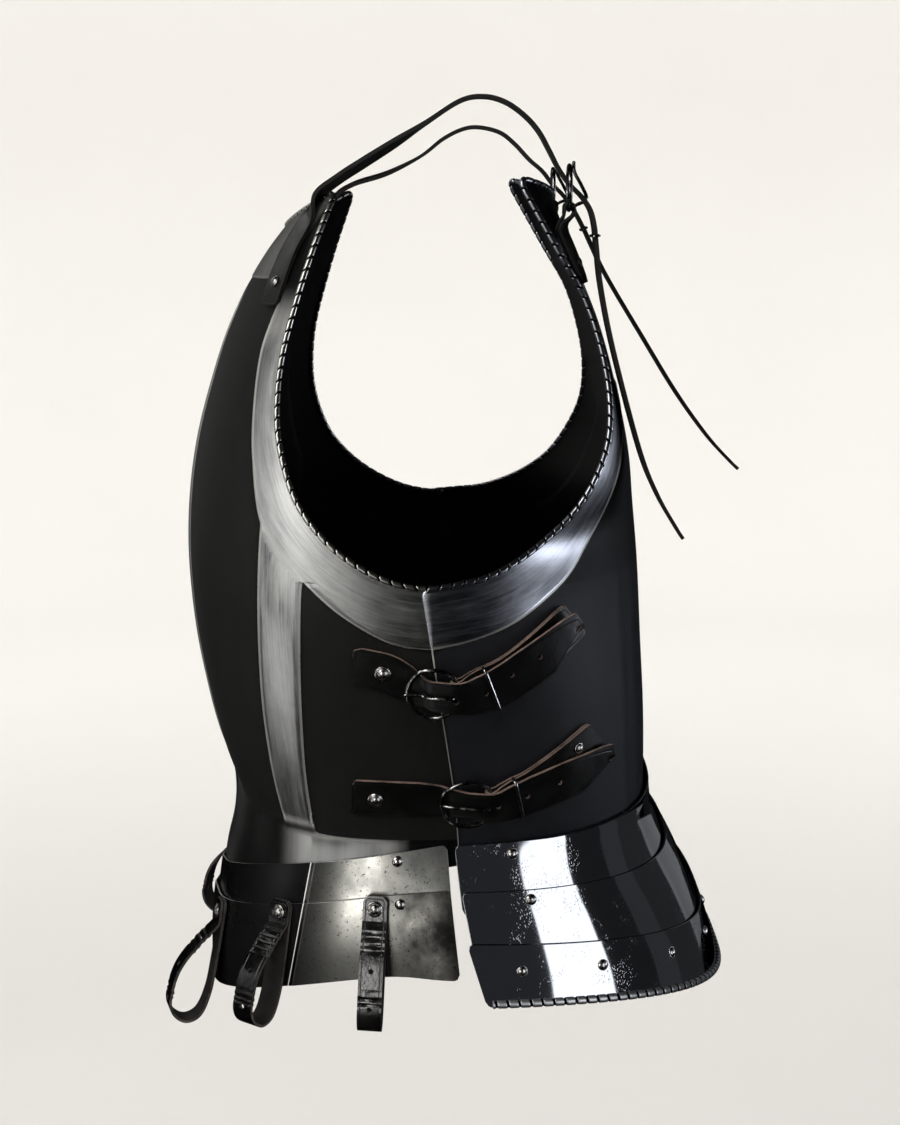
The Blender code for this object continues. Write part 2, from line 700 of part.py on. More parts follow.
def wire(name, points, radius, closed, where):
    """A bent wire through the points, made a mesh so that it can be joined or cut."""
    data = bpy.data.curves.new(name, "CURVE")
    data.dimensions = "3D"
    data.bevel_depth = radius
    data.bevel_resolution = 1
    data.use_fill_caps = True
    line = data.splines.new("POLY")
    line.points.add(len(points) - 1)
    for p, place in zip(line.points, points):
        p.co = (*place, 1.0)
    line.use_cyclic_u = closed
    drawn = bpy.data.objects.new(name + "_route", data)
    where.objects.link(drawn)
    graph = bpy.context.evaluated_depsgraph_get()
    mesh = bpy.data.meshes.new_from_object(drawn.evaluated_get(graph))
    bpy.data.objects.remove(drawn, do_unlink=True)
    tidy = bmesh.new()
    tidy.from_mesh(mesh)
    bmesh.ops.remove_doubles(tidy, verts=tidy.verts, dist=0.00001)
    bmesh.ops.recalc_face_normals(tidy, faces=tidy.faces)
    tidy.to_mesh(mesh)
    tidy.free()
    mesh.name = name
    mesh.materials.clear()
    mesh.materials.append(material(name, BRIGHT_STEEL))
    mesh.shade_smooth()
    obj = bpy.data.objects.new(name, mesh)
    where.objects.link(obj)
    return obj


def united(obj, other):
    """The first object with the second joined to it as one solid."""
    join = obj.modifiers.new("joined", "BOOLEAN")
    join.operation = "UNION"
    join.object = other
    as_cutter(other)
    return obj


def as_cutter(obj):
    for owner in list(obj.users_collection):
        owner.objects.unlink(obj)
    collection("cutters").objects.link(obj)
    obj.hide_render = True
    obj.display_type = "WIRE"


def turned(name, profile, steps, where):
    """A solid turned about its own Z from (radius, height) points that run down its outer side."""
    mesh = bpy.data.meshes.new(name)
    mesh.from_pydata([(r, 0, h) for r, h in profile], [(i, i + 1) for i in range(len(profile) - 1)], [])
    obj = bpy.data.objects.new(name, mesh)
    where.objects.link(obj)
    mesh.materials.append(material(name, BRIGHT_STEEL))
    spin = obj.modifiers.new("turned", "SCREW")
    spin.steps = steps
    spin.render_steps = steps
    spin.use_merge_vertices = True
    spin.merge_threshold = 0.00001
    spin.use_smooth_shade = True
    return obj


def aim(obj, place, outward):
    obj.location = place
    obj.rotation_mode = "QUATERNION"
    obj.rotation_quaternion = outward.to_track_quat("Z", "Y")


def dome(head, rise, count=3):
    """Profile of a rivet's domed head, from its crown to its rim."""
    radius = (head**2 + rise**2) / (2 * rise)
    reach = math.asin(head / radius)
    return [
        (radius * math.sin(reach * k / count), radius * math.cos(reach * k / count) - radius + rise)
        for k in range(count + 1)
    ]


def rivet(name, place, outward, grip, pieces, parts, washer=False, flush=False):
    """A rivet whose head bears at place and whose shank goes in by grip, with a hole in each piece it holds.
    A flush one ends level with the inner face, where another plate slides behind it."""
    seat = WASHER_THICK if washer else 0.0
    profile = [(r, h + seat) for r, h in dome(RIVET_HEAD, RIVET_RISE)]
    if washer:
        profile += [(WASHER_RADIUS, seat), (WASHER_RADIUS, 0.0)]
    profile += [(RIVET_SHANK, 0.0), (RIVET_SHANK, -grip)]
    if not flush:
        profile += [(CLENCH_RADIUS, -grip), (CLENCH_RADIUS, -grip - CLENCH_THICK)]
    profile += [(0.0, profile[-1][1])]
    obj = turned(name, profile, 8, parts)
    aim(obj, place, outward)
    wall, top, end = RIVET_SHANK + HOLE_CLEAR, HOLE_REACH, -grip - HOLE_REACH
    hole = turned(
        name + "_hole",
        [(0.0, top), (wall, top), (wall, end), (0.0, end)],
        10,
        collection("cutters"),
    )
    hole.hide_render = True
    hole.display_type = "WIRE"
    aim(hole, place, outward)
    for piece in pieces:
        cut = piece.modifiers.new("hole_" + name, "BOOLEAN")
        cut.operation = "DIFFERENCE"
        cut.object = hole
    return obj


def side_set(level, side, parts, breast, back):
    """One side fastening: billet on the breastplate, folded strap on the backplate, buckle and rivets."""
    billet_route, strap_route, ring_at, rivets = (
        (UPPER_BILLET, UPPER_BUCKLE_STRAP, UPPER_RING, UPPER_RIVETS)
        if level == "upper"
        else (LOWER_BILLET, LOWER_BUCKLE_STRAP, LOWER_RING, LOWER_RIVETS)
    )
    tag = f"{level}_{'left' if side > 0 else 'right'}"
    billet = strap(
        f"side_billet_{tag}",
        side_ribbon(with_slope(curve_through(billet_route, 2)), side),
        BILLET_THICK,
        parts,
    )
    stations, bar_height = buckle_strap_stations(strap_route, SIDE_STRAP_WIDTH / 2)
    folded = strap(f"side_buckle_strap_{tag}", side_ribbon(stations, side, 5), BUCKLE_STRAP_THICK, parts)
    y, z = ring_at
    near = BILLET_THICK + RING_WIRE / 2 + RING_STAND
    ring = []
    for a in np.linspace(0, 2 * math.pi, 16, endpoint=False):
        u, v = SIDE_RING_RADIUS * math.cos(a), SIDE_RING_RADIUS * math.sin(a)
        lift = near + (bar_height - near) * (u / SIDE_RING_RADIUS + 1) / 2
        ring.append(raised(y + u, z + v, lift, side))
    tongue = [raised(y + SIDE_RING_RADIUS * u, z, bar_height + rise, side) for u, rise in SIDE_TONGUE]
    ring_buckle(f"side_buckle_{tag}", ring, tongue, parts)
    point, outward = side_frame(y + SIDE_RING_RADIUS * SIDE_SLOT_SHARE, z)
    slot = box_cutter(f"tongue_slot_{tag}", SIDE_SLOT)
    aim(slot, flip(point + outward * (bar_height + SIDE_SLOT_LIFT), side), flip(outward, side))
    for piece in (billet, folded):
        cut_from(piece, slot)
    point, outward = side_frame(*rivets[0])
    seat = BILLET_THICK + LEAF_CLEAR + TOUCH * 2
    rivet(
        f"billet_rivet_{tag}",
        flip(point + outward * seat, side),
        flip(outward, side),
        seat + PLATE + RIVET_SLACK,
        (billet, breast),
        parts,
        washer=True,
    )
    point, outward = side_frame(*rivets[1])
    seat = 2 * BUCKLE_STRAP_THICK + LEAF_CLEAR + TOUCH * 4
    rivet(
        f"buckle_strap_rivet_{tag}",
        flip(point + outward * seat, side),
        flip(outward, side),
        seat + PLATE + RIVET_SLACK,
        (folded, back),
        parts,
    )


def box_cutter(name, size):
    mesh = bpy.data.meshes.new(name)
    built = bmesh.new()
    bmesh.ops.create_cube(built, size=1.0)
    bmesh.ops.scale(built, vec=size, verts=built.verts)
    built.to_mesh(mesh)
    built.free()
    obj = bpy.data.objects.new(name, mesh)
    collection("cutters").objects.link(obj)
    obj.hide_render = True
    obj.display_type = "WIRE"
    return obj


def cut_from(piece, cutter):
    cut = piece.modifiers.new(cutter.name, "BOOLEAN")
    cut.operation = "DIFFERENCE"
    cut.object = cutter


def shoulder_rows(name, side):
    """Rows of a shoulder strap from its end on the chest, over the shoulder, down to the tail's end."""
    stations = []
    for height, x, half in SHOULDER_ON_CHEST:
        point, across, outward = face_frame(x, height, "front")
        place = point + outward * (SHOULDER_THICK / 2 + LEAF_CLEAR)
        stations.append((*place, *across, half))
    for x, y, z, half in SHOULDER_FREE[name]:
        stations.append((x, y, z, 1.0, 0.0, 0.0, half))
    rows = []
    for station in curve_through(stations, 2):
        place = Vector(station[:3])
        across = Vector(station[3:6]).normalized()
        rows.append([flip(place + across * station[6] * k, side) for k in (-1, 0, 1)])
    return rows


def shoulder_buckle_strap_rows(side):
    """The short strap behind the shoulder: up the backplate, over the buckle's bar and down again."""
    x, bar_y, ring_z = SHOULDER_BUCKLE
    bar_z = ring_z - SHOULDER_RING_RADIUS
    leaf = BUCKLE_STRAP_THICK
    low = TOUCH + leaf / 2 + LEAF_CLEAR
    turn = RING_WIRE / 2 + leaf / 2 + FOLD_CLEAR
    half = SHOULDER_WIDTH / 2
    narrow = half * FOLD_NARROWING
    on_plate = (
        (SHOULDER_STRAP_END, half * 0.30, 0.0),
        (SHOULDER_STRAP_END + 0.008, half, 0.0),
        (-0.0960, half, 0.0),
        (-0.0830, half * 0.85, 0.3),
    )

    def leaf_row(height, width, sag, lift):
        row = []
        for k in np.linspace(-1, 1, 5):
            point, _, outward = face_frame(x + width * k, height, "back")
            rise = sag * ring_sag(width * k, SHOULDER_RING_RADIUS)
            row.append(flip(point + outward * lift + Vector((0, 0, rise)), side))
        return row

    def bar_row(y, z, width):
        row = []
        for k in np.linspace(-1, 1, 5):
            row.append(flip(Vector((x + width * k, y, z + ring_sag(width * k, SHOULDER_RING_RADIUS))), side))
        return row

    rows = [leaf_row(height, width, sag, low) for height, width, sag in on_plate]
    rows.append(bar_row(bar_y - turn, bar_z - FOLD_LEG, narrow))
    for a in np.linspace(math.pi, 0, 6):
        rows.append(bar_row(bar_y + turn * math.cos(a), bar_z + turn * math.sin(a), narrow))
    rows.append(bar_row(bar_y + turn, bar_z - FOLD_LEG, narrow))
    for height, width, sag in reversed(on_plate):
        rows.append(leaf_row(height, width, sag, low + leaf + TOUCH * 2))
    return rows


def shoulder_set(side, parts, breast, back):
    """One shoulder fastening: strap, folded buckle strap, buckle and the rivets that hold them."""
    name = "left" if side > 0 else "right"
    over = strap(f"shoulder_strap_{name}", shoulder_rows(name, side), SHOULDER_THICK, parts)
    folded_rows = shoulder_buckle_strap_rows(side)
    folded = strap(f"shoulder_buckle_strap_{name}", folded_rows, BUCKLE_STRAP_THICK, parts)
    x, y, z = SHOULDER_BUCKLE
    radius = SHOULDER_RING_RADIUS
    ring = [
        flip(Vector((x + radius * math.sin(a), y, z - radius * math.cos(a))), side)
        for a in np.linspace(0, 2 * math.pi, 16, endpoint=False)
    ]
    tongue = [flip(Vector((x, y + out, z + SHOULDER_RING_RADIUS * up)), side) for up, out in SHOULDER_TONGUE]
    ring_buckle(f"shoulder_buckle_{name}", ring, tongue, parts)
    slot = box_cutter(f"shoulder_slot_{name}", SHOULDER_SLOT)
    slot.location = flip(Vector((x, y + SHOULDER_SLOT_BEHIND, z - radius * SLOT_FROM_CENTRE)), side)
    for piece in (over, folded):
        cut_from(piece, slot)
    for rivet_at, face, piece, body, what, thick in (
        (SHOULDER_RIVETS[0], "front", over, breast, "front", SHOULDER_THICK),
        (SHOULDER_RIVETS[1], "back", folded, back, "back", 2 * BUCKLE_STRAP_THICK + 2 * TOUCH),
    ):
        point, _, outward = face_frame(*rivet_at, face)
        seat = thick + LEAF_CLEAR + 2 * TOUCH
        rivet(
            f"shoulder_rivet_{what}_{name}",
            flip(point + outward * seat, side),
            flip(outward, side),
            seat + PLATE + RIVET_SLACK,
            (piece, body),
            parts,
        )


def tasset_loop(place, y, share, bulge, drop, side, parts, lame):
    """A belt loop riveted to the lower fauld lame, both ends under one washered rivet."""
    name = f"{place}_{'left' if side > 0 else 'right'}"
    point, down, outward = skirt_frame(y, share, "front", layer(2))
    across = down.cross(outward).normalized()
    leaf = LOOP_THICK
    low = TOUCH + leaf / 2 + LEAF_CLEAR
    apart = leaf + TOUCH * 2
    route = []
    for i, (b, s) in enumerate(LOOP_SHAPE):
        outer = 0.0 if i < len(LOOP_SHAPE) / 2 - 1 else 1.0
        route.append((low + b * bulge + outer * apart * (1 - b), s * drop))
    rows = []
    for n, s in curve_through(route, 2):
        centre = point + outward * n + down * s
        rows.append([flip(centre + across * LOOP_WIDTH / 2 * k, side) for k in (-1, 1)])
    loop = strap(f"tasset_loop_{name}", rows, leaf, parts)
    seat = 2 * leaf + LEAF_CLEAR + TOUCH * 4
    rivet(
        f"tasset_rivet_{name}",
        flip(point + outward * seat, side),
        flip(outward, side),
        seat + PLATE - TOUCH,
        (loop, lame),
        parts,
        washer=True,
        flush=True,
    )


def culet_row(lame):
    """The heads of the rivets that fix the lowest culet lame, each made one with the lame."""
    for degrees in CULET_ROW_ANGLES:
        angle = math.radians(degrees)
        centre = skirt_point(CULET_ROW_SHARE, angle, "back", layer(4))
        d = 0.01
        down = skirt_point(CULET_ROW_SHARE + d, angle, "back", layer(4)) - centre
        along = skirt_point(CULET_ROW_SHARE, angle + d, "back", layer(4)) - centre
        outward = down.cross(along).normalized()
        if outward.y < 0:
            outward = -outward
        for side in (1, -1) if degrees else (1,):
            head = turned(
                f"culet_row_{degrees}_{'left' if side > 0 else 'right'}",
                [*dome(RIVET_HEAD, RIVET_RISE), (RIVET_HEAD, -0.0011), (0.0, -0.0011)],
                8,
                collection("cutters"),
            )
            aim(head, flip(centre, side), flip(outward, side))
            united(lame, head)


def hinge_place(name):
    """The point on the side pivots' line, at the middle of the body, that a lame turns about."""
    _, face, number, y, share, _ = next(row for row in PIVOTS if row[0] == name)
    point, _, _ = skirt_frame(y, share, face, layer(number))
    return Vector((0.0, point.y, point.z))


def hang(parts):
    """Parents the pieces of each moving body to an empty on its hinge line, and that to the body above it."""
    hinges = {}
    for body, (above, names) in MOVING_BODIES.items():
        hinge = bpy.data.objects.new(body + "_hinge", None)
        parts.objects.link(hinge)
        place = hinge_place(body)
        hinge.location = place
        if above:
            hinge.parent = hinges[above][0]
            hinge.location = place - hinges[above][1]
        hinges[body] = (hinge, place)
        for piece in parts.objects:
            if piece.type == "MESH" and piece.name.startswith(names):
                piece.parent = hinge
                piece.matrix_parent_inverse = Matrix.Translation(-place)


def main():
    clear_scene()
    parts = collection("cuirass")
    plates = {
        "breastplate": plate(
            "breastplate", body_rows(BREAST_EDGE, "front", BREAST_FLANGE, 0.0), "front", parts
        ),
        "backplate": plate(
            "backplate", body_rows(BACK_EDGE, "back", BACK_FLANGE, BACKPLATE_OUT), "back", parts
        ),
    }
    for name, lame in LAMES.items():
        plates[name] = plate(name, lame_rows(lame), lame[0], parts)
    breast, back = plates["breastplate"], plates["backplate"]
    for side in (1, -1):
        shoulder_set(side, parts, breast, back)
        for level in ("upper", "lower"):
            side_set(level, side, parts, breast, back)
        for place, y, share, bulge, drop in TASSET_LOOPS:
            tasset_loop(place, y, share, bulge, drop, side, parts, plates["fauld_lower_lame"])
        for name, face, number, y, share, held in PIVOTS:
            point, _, outward = skirt_frame(y, share, face, layer(number))
            rivet(
                f"{name}_pivot_{'left' if side > 0 else 'right'}",
                flip(point + outward * TOUCH, side),
                flip(outward, side),
                TOUCH + 2 * PLATE + LAYER_GAP + RIVET_SLACK,
                [plates[piece] for piece in held],
                parts,
            )
    culet_row(plates["culet_lower_lame"])
    hang(parts)


main()
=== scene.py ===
"""A black and polished steel cuirass, as worn: breastplate, backplate, fauld and culet lames, with buckled
leather straps. Metres, +Z up, the wearer faces -Y and the wearer's left side is +X."""

import json
import math

import bmesh
import bpy
import numpy as np
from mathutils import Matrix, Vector

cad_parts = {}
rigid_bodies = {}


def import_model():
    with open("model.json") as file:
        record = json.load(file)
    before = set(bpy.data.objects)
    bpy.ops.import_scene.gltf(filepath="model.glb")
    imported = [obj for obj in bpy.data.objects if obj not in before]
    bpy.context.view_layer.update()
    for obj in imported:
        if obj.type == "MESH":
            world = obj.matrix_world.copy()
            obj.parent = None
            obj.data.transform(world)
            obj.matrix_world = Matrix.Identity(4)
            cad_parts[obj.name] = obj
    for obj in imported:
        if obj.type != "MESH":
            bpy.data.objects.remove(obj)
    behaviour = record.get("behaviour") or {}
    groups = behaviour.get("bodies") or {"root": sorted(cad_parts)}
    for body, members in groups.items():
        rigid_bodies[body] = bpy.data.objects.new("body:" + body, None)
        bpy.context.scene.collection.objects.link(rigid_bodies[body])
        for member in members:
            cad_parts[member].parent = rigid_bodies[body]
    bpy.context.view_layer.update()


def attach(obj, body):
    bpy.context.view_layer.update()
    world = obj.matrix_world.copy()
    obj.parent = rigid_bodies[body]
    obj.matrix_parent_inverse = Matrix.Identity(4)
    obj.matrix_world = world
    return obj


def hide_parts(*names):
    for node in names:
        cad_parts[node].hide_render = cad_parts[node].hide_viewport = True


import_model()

# --------------------------------------------------------------------------------------------------------
# Camera. It stands at the wearer's left, a little above the middle, and looks slightly down.
CAMERA_AT = (1.33, -0.015, -0.055)
LOOKS_DOWN = math.radians(12.04)


def placed(name, data):
    """A new object in the scene, at the origin."""
    obj = bpy.data.objects.new(name, data)
    bpy.context.scene.collection.objects.link(obj)
    return obj


camera = placed("camera", bpy.data.cameras.new("camera"))
camera.data.sensor_width = 36.0
camera.data.lens = 56.0
camera.data.clip_start = 0.01
camera.data.clip_end = 50.0
camera.location = CAMERA_AT
camera.rotation_mode = "QUATERNION"
camera.rotation_quaternion = Vector((-math.cos(LOOKS_DOWN), 0, -math.sin(LOOKS_DOWN))).to_track_quat(
    "-Z", "Y",
)
bpy.context.scene.camera = camera
bpy.context.scene.view_settings.view_transform = "Standard"

# --------------------------------------------------------------------------------------------------------
# Breastplate. One sheet of 1.5 mm steel, raised over a stake to a blunt middle ridge and flared below the
# waist, then blackened. Bands along the armholes, down the sides and round the neck stand proud and are
# ground bright; the edge at the arms and neck is rolled outwards.
PLATE = 0.0015
LAYER_GAP = 0.0016
MID_Y = -0.035
FRONT_ROUNDNESS = 2.6
RIDGE_SPREAD, RIDGE_REACH = 0.050, 0.190
WAIST_Z = -0.505
# Height, half width, y of the centre line, height of the middle ridge.
FRONT_SECTIONS = (
    (-0.505, 0.1650, -0.1845, 0.014), (-0.475, 0.1715, -0.1960, 0.014), (-0.440, 0.1800, -0.2045, 0.014),
    (-0.390, 0.1895, -0.2130, 0.014), (-0.335, 0.1955, -0.2170, 0.014), (-0.290, 0.1900, -0.2155, 0.014),
    (-0.245, 0.1800, -0.2090, 0.013), (-0.200, 0.1710, -0.1970, 0.011), (-0.150, 0.1620, -0.1790, 0.008),
    (-0.100, 0.1510, -0.1510, 0.004), (-0.050, 0.1330, -0.1080, 0.001),
)
# Height, half width, y of the centre line, squareness.
BACK_SECTIONS = (
    (-0.505, 0.1650, 0.1330, 2.5), (-0.475, 0.1715, 0.1330, 2.4), (-0.440, 0.1800, 0.1320, 2.3),
    (-0.390, 0.1895, 0.1290, 2.15), (-0.335, 0.1955, 0.1262, 1.9), (-0.290, 0.1890, 0.1220, 1.85),
    (-0.245, 0.1790, 0.1152, 2.8), (-0.200, 0.1665, 0.1045, 3.7), (-0.150, 0.1530, 0.0900, 4.2),
    (-0.100, 0.1380, 0.0700, 4.3), (-0.045, 0.1180, 0.0500, 4.3),
)
# Below the waist: share of the way to the hem, half width, y of the centre line, ridge.
FRONT_SKIRT = (
    (0.00, 0.1650, -0.1845, 0.014), (0.20, 0.1685, -0.1870, 0.013), (0.36, 0.1715, -0.1930, 0.012),
    (0.53, 0.1750, -0.1975, 0.011), (0.75, 0.1780, -0.2020, 0.010), (1.00, 0.1800, -0.2035, 0.009),
)
BACK_SKIRT = (
    (0.00, 0.1650, 0.1330), (0.14, 0.1685, 0.1370), (0.28, 0.1725, 0.1445), (0.48, 0.1785, 0.1590),
    (0.74, 0.1850, 0.1750), (1.00, 0.1900, 0.1860),
)
BACK_SKIRT_SQUARENESS = 2.5
SIDE_EASE = 0.026
FRONT_HEM_SIDE, FRONT_HEM_CENTRE, FRONT_HEM_FALL = -0.5990, -0.6650, 2
BACK_HEM_SIDE, BACK_HEM_CENTRE, BACK_HEM_FALL = -0.6135, -0.6500, 4
# The edge from the waist up: height on the centre line, then y and height at the side. Five steps climb the
# seam, the rest follow the armhole to the shoulder.
BREAST_EDGE = (
    (-0.505, 0.0010, -0.505), (-0.470, -0.0010, -0.470), (-0.430, -0.0050, -0.430), (-0.390, -0.0100, -0.390),
    (-0.355, -0.0140, -0.350), (-0.330, -0.0180, -0.3155), (-0.320, -0.0360, -0.3150),
    (-0.308, -0.0565, -0.3105), (-0.295, -0.0785, -0.3000), (-0.280, -0.0985, -0.2850),
    (-0.262, -0.1150, -0.2655), (-0.240, -0.1245, -0.2450), (-0.215, -0.1305, -0.2200),
    (-0.190, -0.1315, -0.1950), (-0.162, -0.1280, -0.1650), (-0.133, -0.1195, -0.1330),
    (-0.106, -0.1080, -0.0970), (-0.081, -0.0925, -0.0560),
)
CORNER_STEP = 5
# How many steps of the corner's rounding lie below it and above it.
CORNER_TURN = (0.16, 0.20)
BREAST_FLANGE = (0.155, 0.57)
# Outlines of the bright bands in side view, y and height: along the armhole, and down the side.
ARM_BAND = (
    (-0.0930, -0.0400), (-0.1020, -0.0620), (-0.1165, -0.0860), (-0.1260, -0.1100), (-0.1320, -0.1290),
    (-0.1380, -0.1430), (-0.1450, -0.1630), (-0.1490, -0.1880), (-0.1510, -0.2180), (-0.1500, -0.2400),
    (-0.1480, -0.2600), (-0.1440, -0.2770), (-0.1330, -0.2960), (-0.1130, -0.3140), (-0.0930, -0.3310),
    (-0.0730, -0.3440), (-0.0550, -0.3530), (-0.0390, -0.3570), (-0.0280, -0.3580), (0.0100, -0.3585),
)
SIDE_BAND_FRONT = (
    (-0.1440, -0.2770), (-0.1460, -0.3090), (-0.1470, -0.3620), (-0.1460, -0.4100), (-0.1420, -0.4550),
    (-0.1370, -0.4860), (-0.1320, -0.5100),
)
SIDE_BAND_BACK = (
    (-0.1090, -0.5100), (-0.1130, -0.4880), (-0.1160, -0.4550), (-0.1170, -0.4180), (-0.1170, -0.3740),
    (-0.1150, -0.3190), (-0.1120, -0.3120),
)
BAND_RISE = 0.0011
BEVEL = 0.0018
MIDDLE_STRIP = 0.0095
NECK_CREASE_STEP = 15.55
BREAST_WAIST_PASSES = 14
# Columns of the sheet between its knots: centre strip, black field, side band, wedge, armhole band.
BREAST_COLUMNS = (3, 1, 30, 1, 9, 1, 14, 1, 13)
# The last step of an edge is the shoulder tip, and the armhole's line begins just past its lower corner.
LAST_STEP, ARM_START = 17, 5.35
# How a border sweeps from the centre line to the side, and the furthest out that a band may begin.
SWEEP, BAND_LIMIT = 1.15, 0.982
# The shoulder tip's rounded corner: share of the half width, and steps.
TIP_WIDE, TIP_DROP = 0.055, 0.19
SOFT_RIM = 0.00035


def smooth(table, column, x):
    """The table's column at x, on a curve through its rows with the slope of each row's neighbours."""
    xs, ys = (np.array(c, float) for c in zip(*sorted((row[0], row[column]) for row in table)))
    x = np.clip(x, xs[0], xs[-1])
    i = np.clip(np.searchsorted(xs, x) - 1, 0, len(xs) - 2)
    ends = np.arange(len(xs))
    before, after = np.maximum(ends - 1, 0), np.minimum(ends + 1, len(xs) - 1)
    slope = (ys[after] - ys[before]) / (xs[after] - xs[before])
    span = xs[i + 1] - xs[i]
    t = (x - xs[i]) / span
    return (
        (2 * t**3 - 3 * t**2 + 1) * ys[i]
        + (t**3 - 2 * t**2 + t) * span * slope[i]
        + (3 * t**2 - 2 * t**3) * ys[i + 1]
        + (t**3 - t**2) * span * slope[i + 1]
    )


def section(height, face):
    """Half width, depth from the middle line, squareness and middle ridge of the body at a height."""
    if face == "front":
        ridge = smooth(FRONT_SECTIONS, 3, height)
        depth = MID_Y - smooth(FRONT_SECTIONS, 2, height) - ridge
        return smooth(FRONT_SECTIONS, 1, height), depth, FRONT_ROUNDNESS, ridge
    wide, deep, square = (smooth(BACK_SECTIONS, column, height) for column in (1, 2, 3))
    return wide, deep - MID_Y, square, 0.0


def skirt_section(share, face):
    """The same for the skirt, at a share of the way from the waist to the hem."""
    if face == "front":
        ridge = smooth(FRONT_SKIRT, 3, share)
        depth = MID_Y - smooth(FRONT_SKIRT, 2, share) - ridge
        return smooth(FRONT_SKIRT, 1, share), depth, FRONT_ROUNDNESS, ridge
    return smooth(BACK_SKIRT, 1, share), smooth(BACK_SKIRT, 2, share) - MID_Y, BACK_SKIRT_SQUARENESS, 0.0


def ridge_at(ridge, x):
    """How far the middle ridge stands out at x. It dies away at the side."""
    at_side = math.exp(-RIDGE_REACH / RIDGE_SPREAD)
    return ridge * (np.exp(-abs(x) / RIDGE_SPREAD) - at_side * abs(x) / RIDGE_REACH)


def on_section(shape, angle, out):
    """x and depth on a section at an angle from its centre line, moved out."""
    half_width, depth, squareness, ridge = shape
    s, c = abs(np.sin(angle)), abs(np.cos(angle))
    radius = ((s / (half_width + out)) ** squareness + (c / (depth + out)) ** squareness) ** (-1 / squareness)
    x = radius * np.sin(angle)
    return x, radius * np.cos(angle) + ridge_at(ridge, x)


def angle_at(shape, y, face, out=0.0):
    """The angle at which a section passes a given y."""
    half_width, depth, squareness, _ = shape
    away = (MID_Y - y) if face == "front" else (y - MID_Y)
    share = np.minimum(abs(away) / (depth + out), 0.9999)
    return np.arctan2((half_width + out) * (1 - share**squareness) ** (1 / squareness), away)


def round_section(front_shape, back_shape, angle, face, out):
    """x and y at an angle from the face's centre line. Past the side the section is the other face's."""
    own, other = (front_shape, back_shape) if face == "front" else (back_shape, front_shape)
    near = angle <= math.pi / 2
    x, deep = on_section(own, angle, out)
    far_x, far_deep = on_section(other, math.pi - angle, out)
    x, deep = np.where(near, x, far_x), np.where(near, deep, -far_deep)
    return x, MID_Y - deep if face == "front" else MID_Y + deep


def skirt_point(share, angle, face, out=0.0):
    """A point on the skirt: its height is a share of the way from the waist to the hem at that angle."""
    front, behind = skirt_section(share, "front"), skirt_section(share, "back")
    x, y = round_section(front, behind, angle, face, out)
    # The two sections differ in width at the side, so they are eased into each other there.
    wide = [
        (width + out) * (1 - np.minimum(abs(y - MID_Y) / (deep + out), 0.9999) ** square) ** (1 / square)
        for width, deep, square, _ in (front, behind)
    ]
    ease = step_between(y, MID_Y - SIDE_EASE, MID_Y + SIDE_EASE)
    x = x + (wide[1] - wide[0]) * np.where(y < MID_Y, ease, ease - 1)
    along = np.maximum(0.0, np.cos(np.minimum(angle, math.pi / 2)))
    if face == "front":
        hem = FRONT_HEM_SIDE + (FRONT_HEM_CENTRE - FRONT_HEM_SIDE) * along**FRONT_HEM_FALL
    else:
        hem = BACK_HEM_SIDE + (BACK_HEM_CENTRE - BACK_HEM_SIDE) * along**BACK_HEM_FALL
    return np.stack(np.broadcast_arrays(x, y, WAIST_Z + share * (hem - WAIST_Z)), -1)


def edge_at(edge, step):
    """Centre height, side y and side height at a step up the edge. The armhole's lower corner is rounded."""
    table = [(i, *row) for i, row in enumerate(edge)]
    low, high = table[: CORNER_STEP + 1], table[CORNER_STEP:]
    below, above = CORNER_STEP - CORNER_TURN[0], CORNER_STEP + CORNER_TURN[1]
    made = []
    for column in (1, 2, 3):
        start, end = smooth(low, column, below), smooth(high, column, above)
        corner = edge[CORNER_STEP][column - 1]
        t = np.clip((step - below) / (above - below), 0, 1)
        rounded = (1 - t) ** 2 * start + 2 * t * (1 - t) * corner + t**2 * end
        value = np.where(step < CORNER_STEP, smooth(low, column, step), smooth(high, column, step))
        made.append(np.where((step > below) & (step < above), rounded, value))
    return made


def plate_point(edge, face, flange, out, s, step, rise=0.0):
    """A point on a body plate: s runs from the centre line, 0, to the edge, 1; step runs up it, and from 0
    down to -1 in the flange. Rise lifts it off the plate's own face."""
    share = np.clip(-step, 0, 1) * (flange[1] + (flange[0] - flange[1]) * abs(s) ** SWEEP)
    end = angle_at(skirt_section(share, face), edge[0][1], face, out)
    low = skirt_point(share, abs(s) * end, face, out + rise)
    centre, y, side = edge_at(edge, np.maximum(step, 0))
    end = angle_at(section(side, face), y, face, out)
    height = centre + (side - centre) * abs(s) ** 2
    x, y = round_section(section(height, "front"), section(height, "back"), abs(s) * end, face, out + rise)
    high = np.stack(np.broadcast_arrays(x, y, height), -1)
    made = np.where(np.asarray(step < 0)[..., None], low, high)
    made[..., 0] *= np.where(s < 0, -1, 1)
    return made


def curve_through(stations, steps):
    """Points on a smooth curve through the stations, each a tuple of numbers."""
    points = [np.array(s, float) for s in stations]
    made = []
    for i in range(len(points) - 1):
        before, a, b = points[max(i - 1, 0)], points[i], points[i + 1]
        after = points[min(i + 2, len(points) - 1)]
        for t in np.arange(steps) / steps:
            made.append(
                0.5
                * (
                    2 * a
                    + (b - before) * t
                    + (2 * before - 5 * a + 4 * b - after) * t**2
                    + (3 * a - before - 3 * b + after) * t**3
                )
            )
    return np.array([*made, points[-1]])


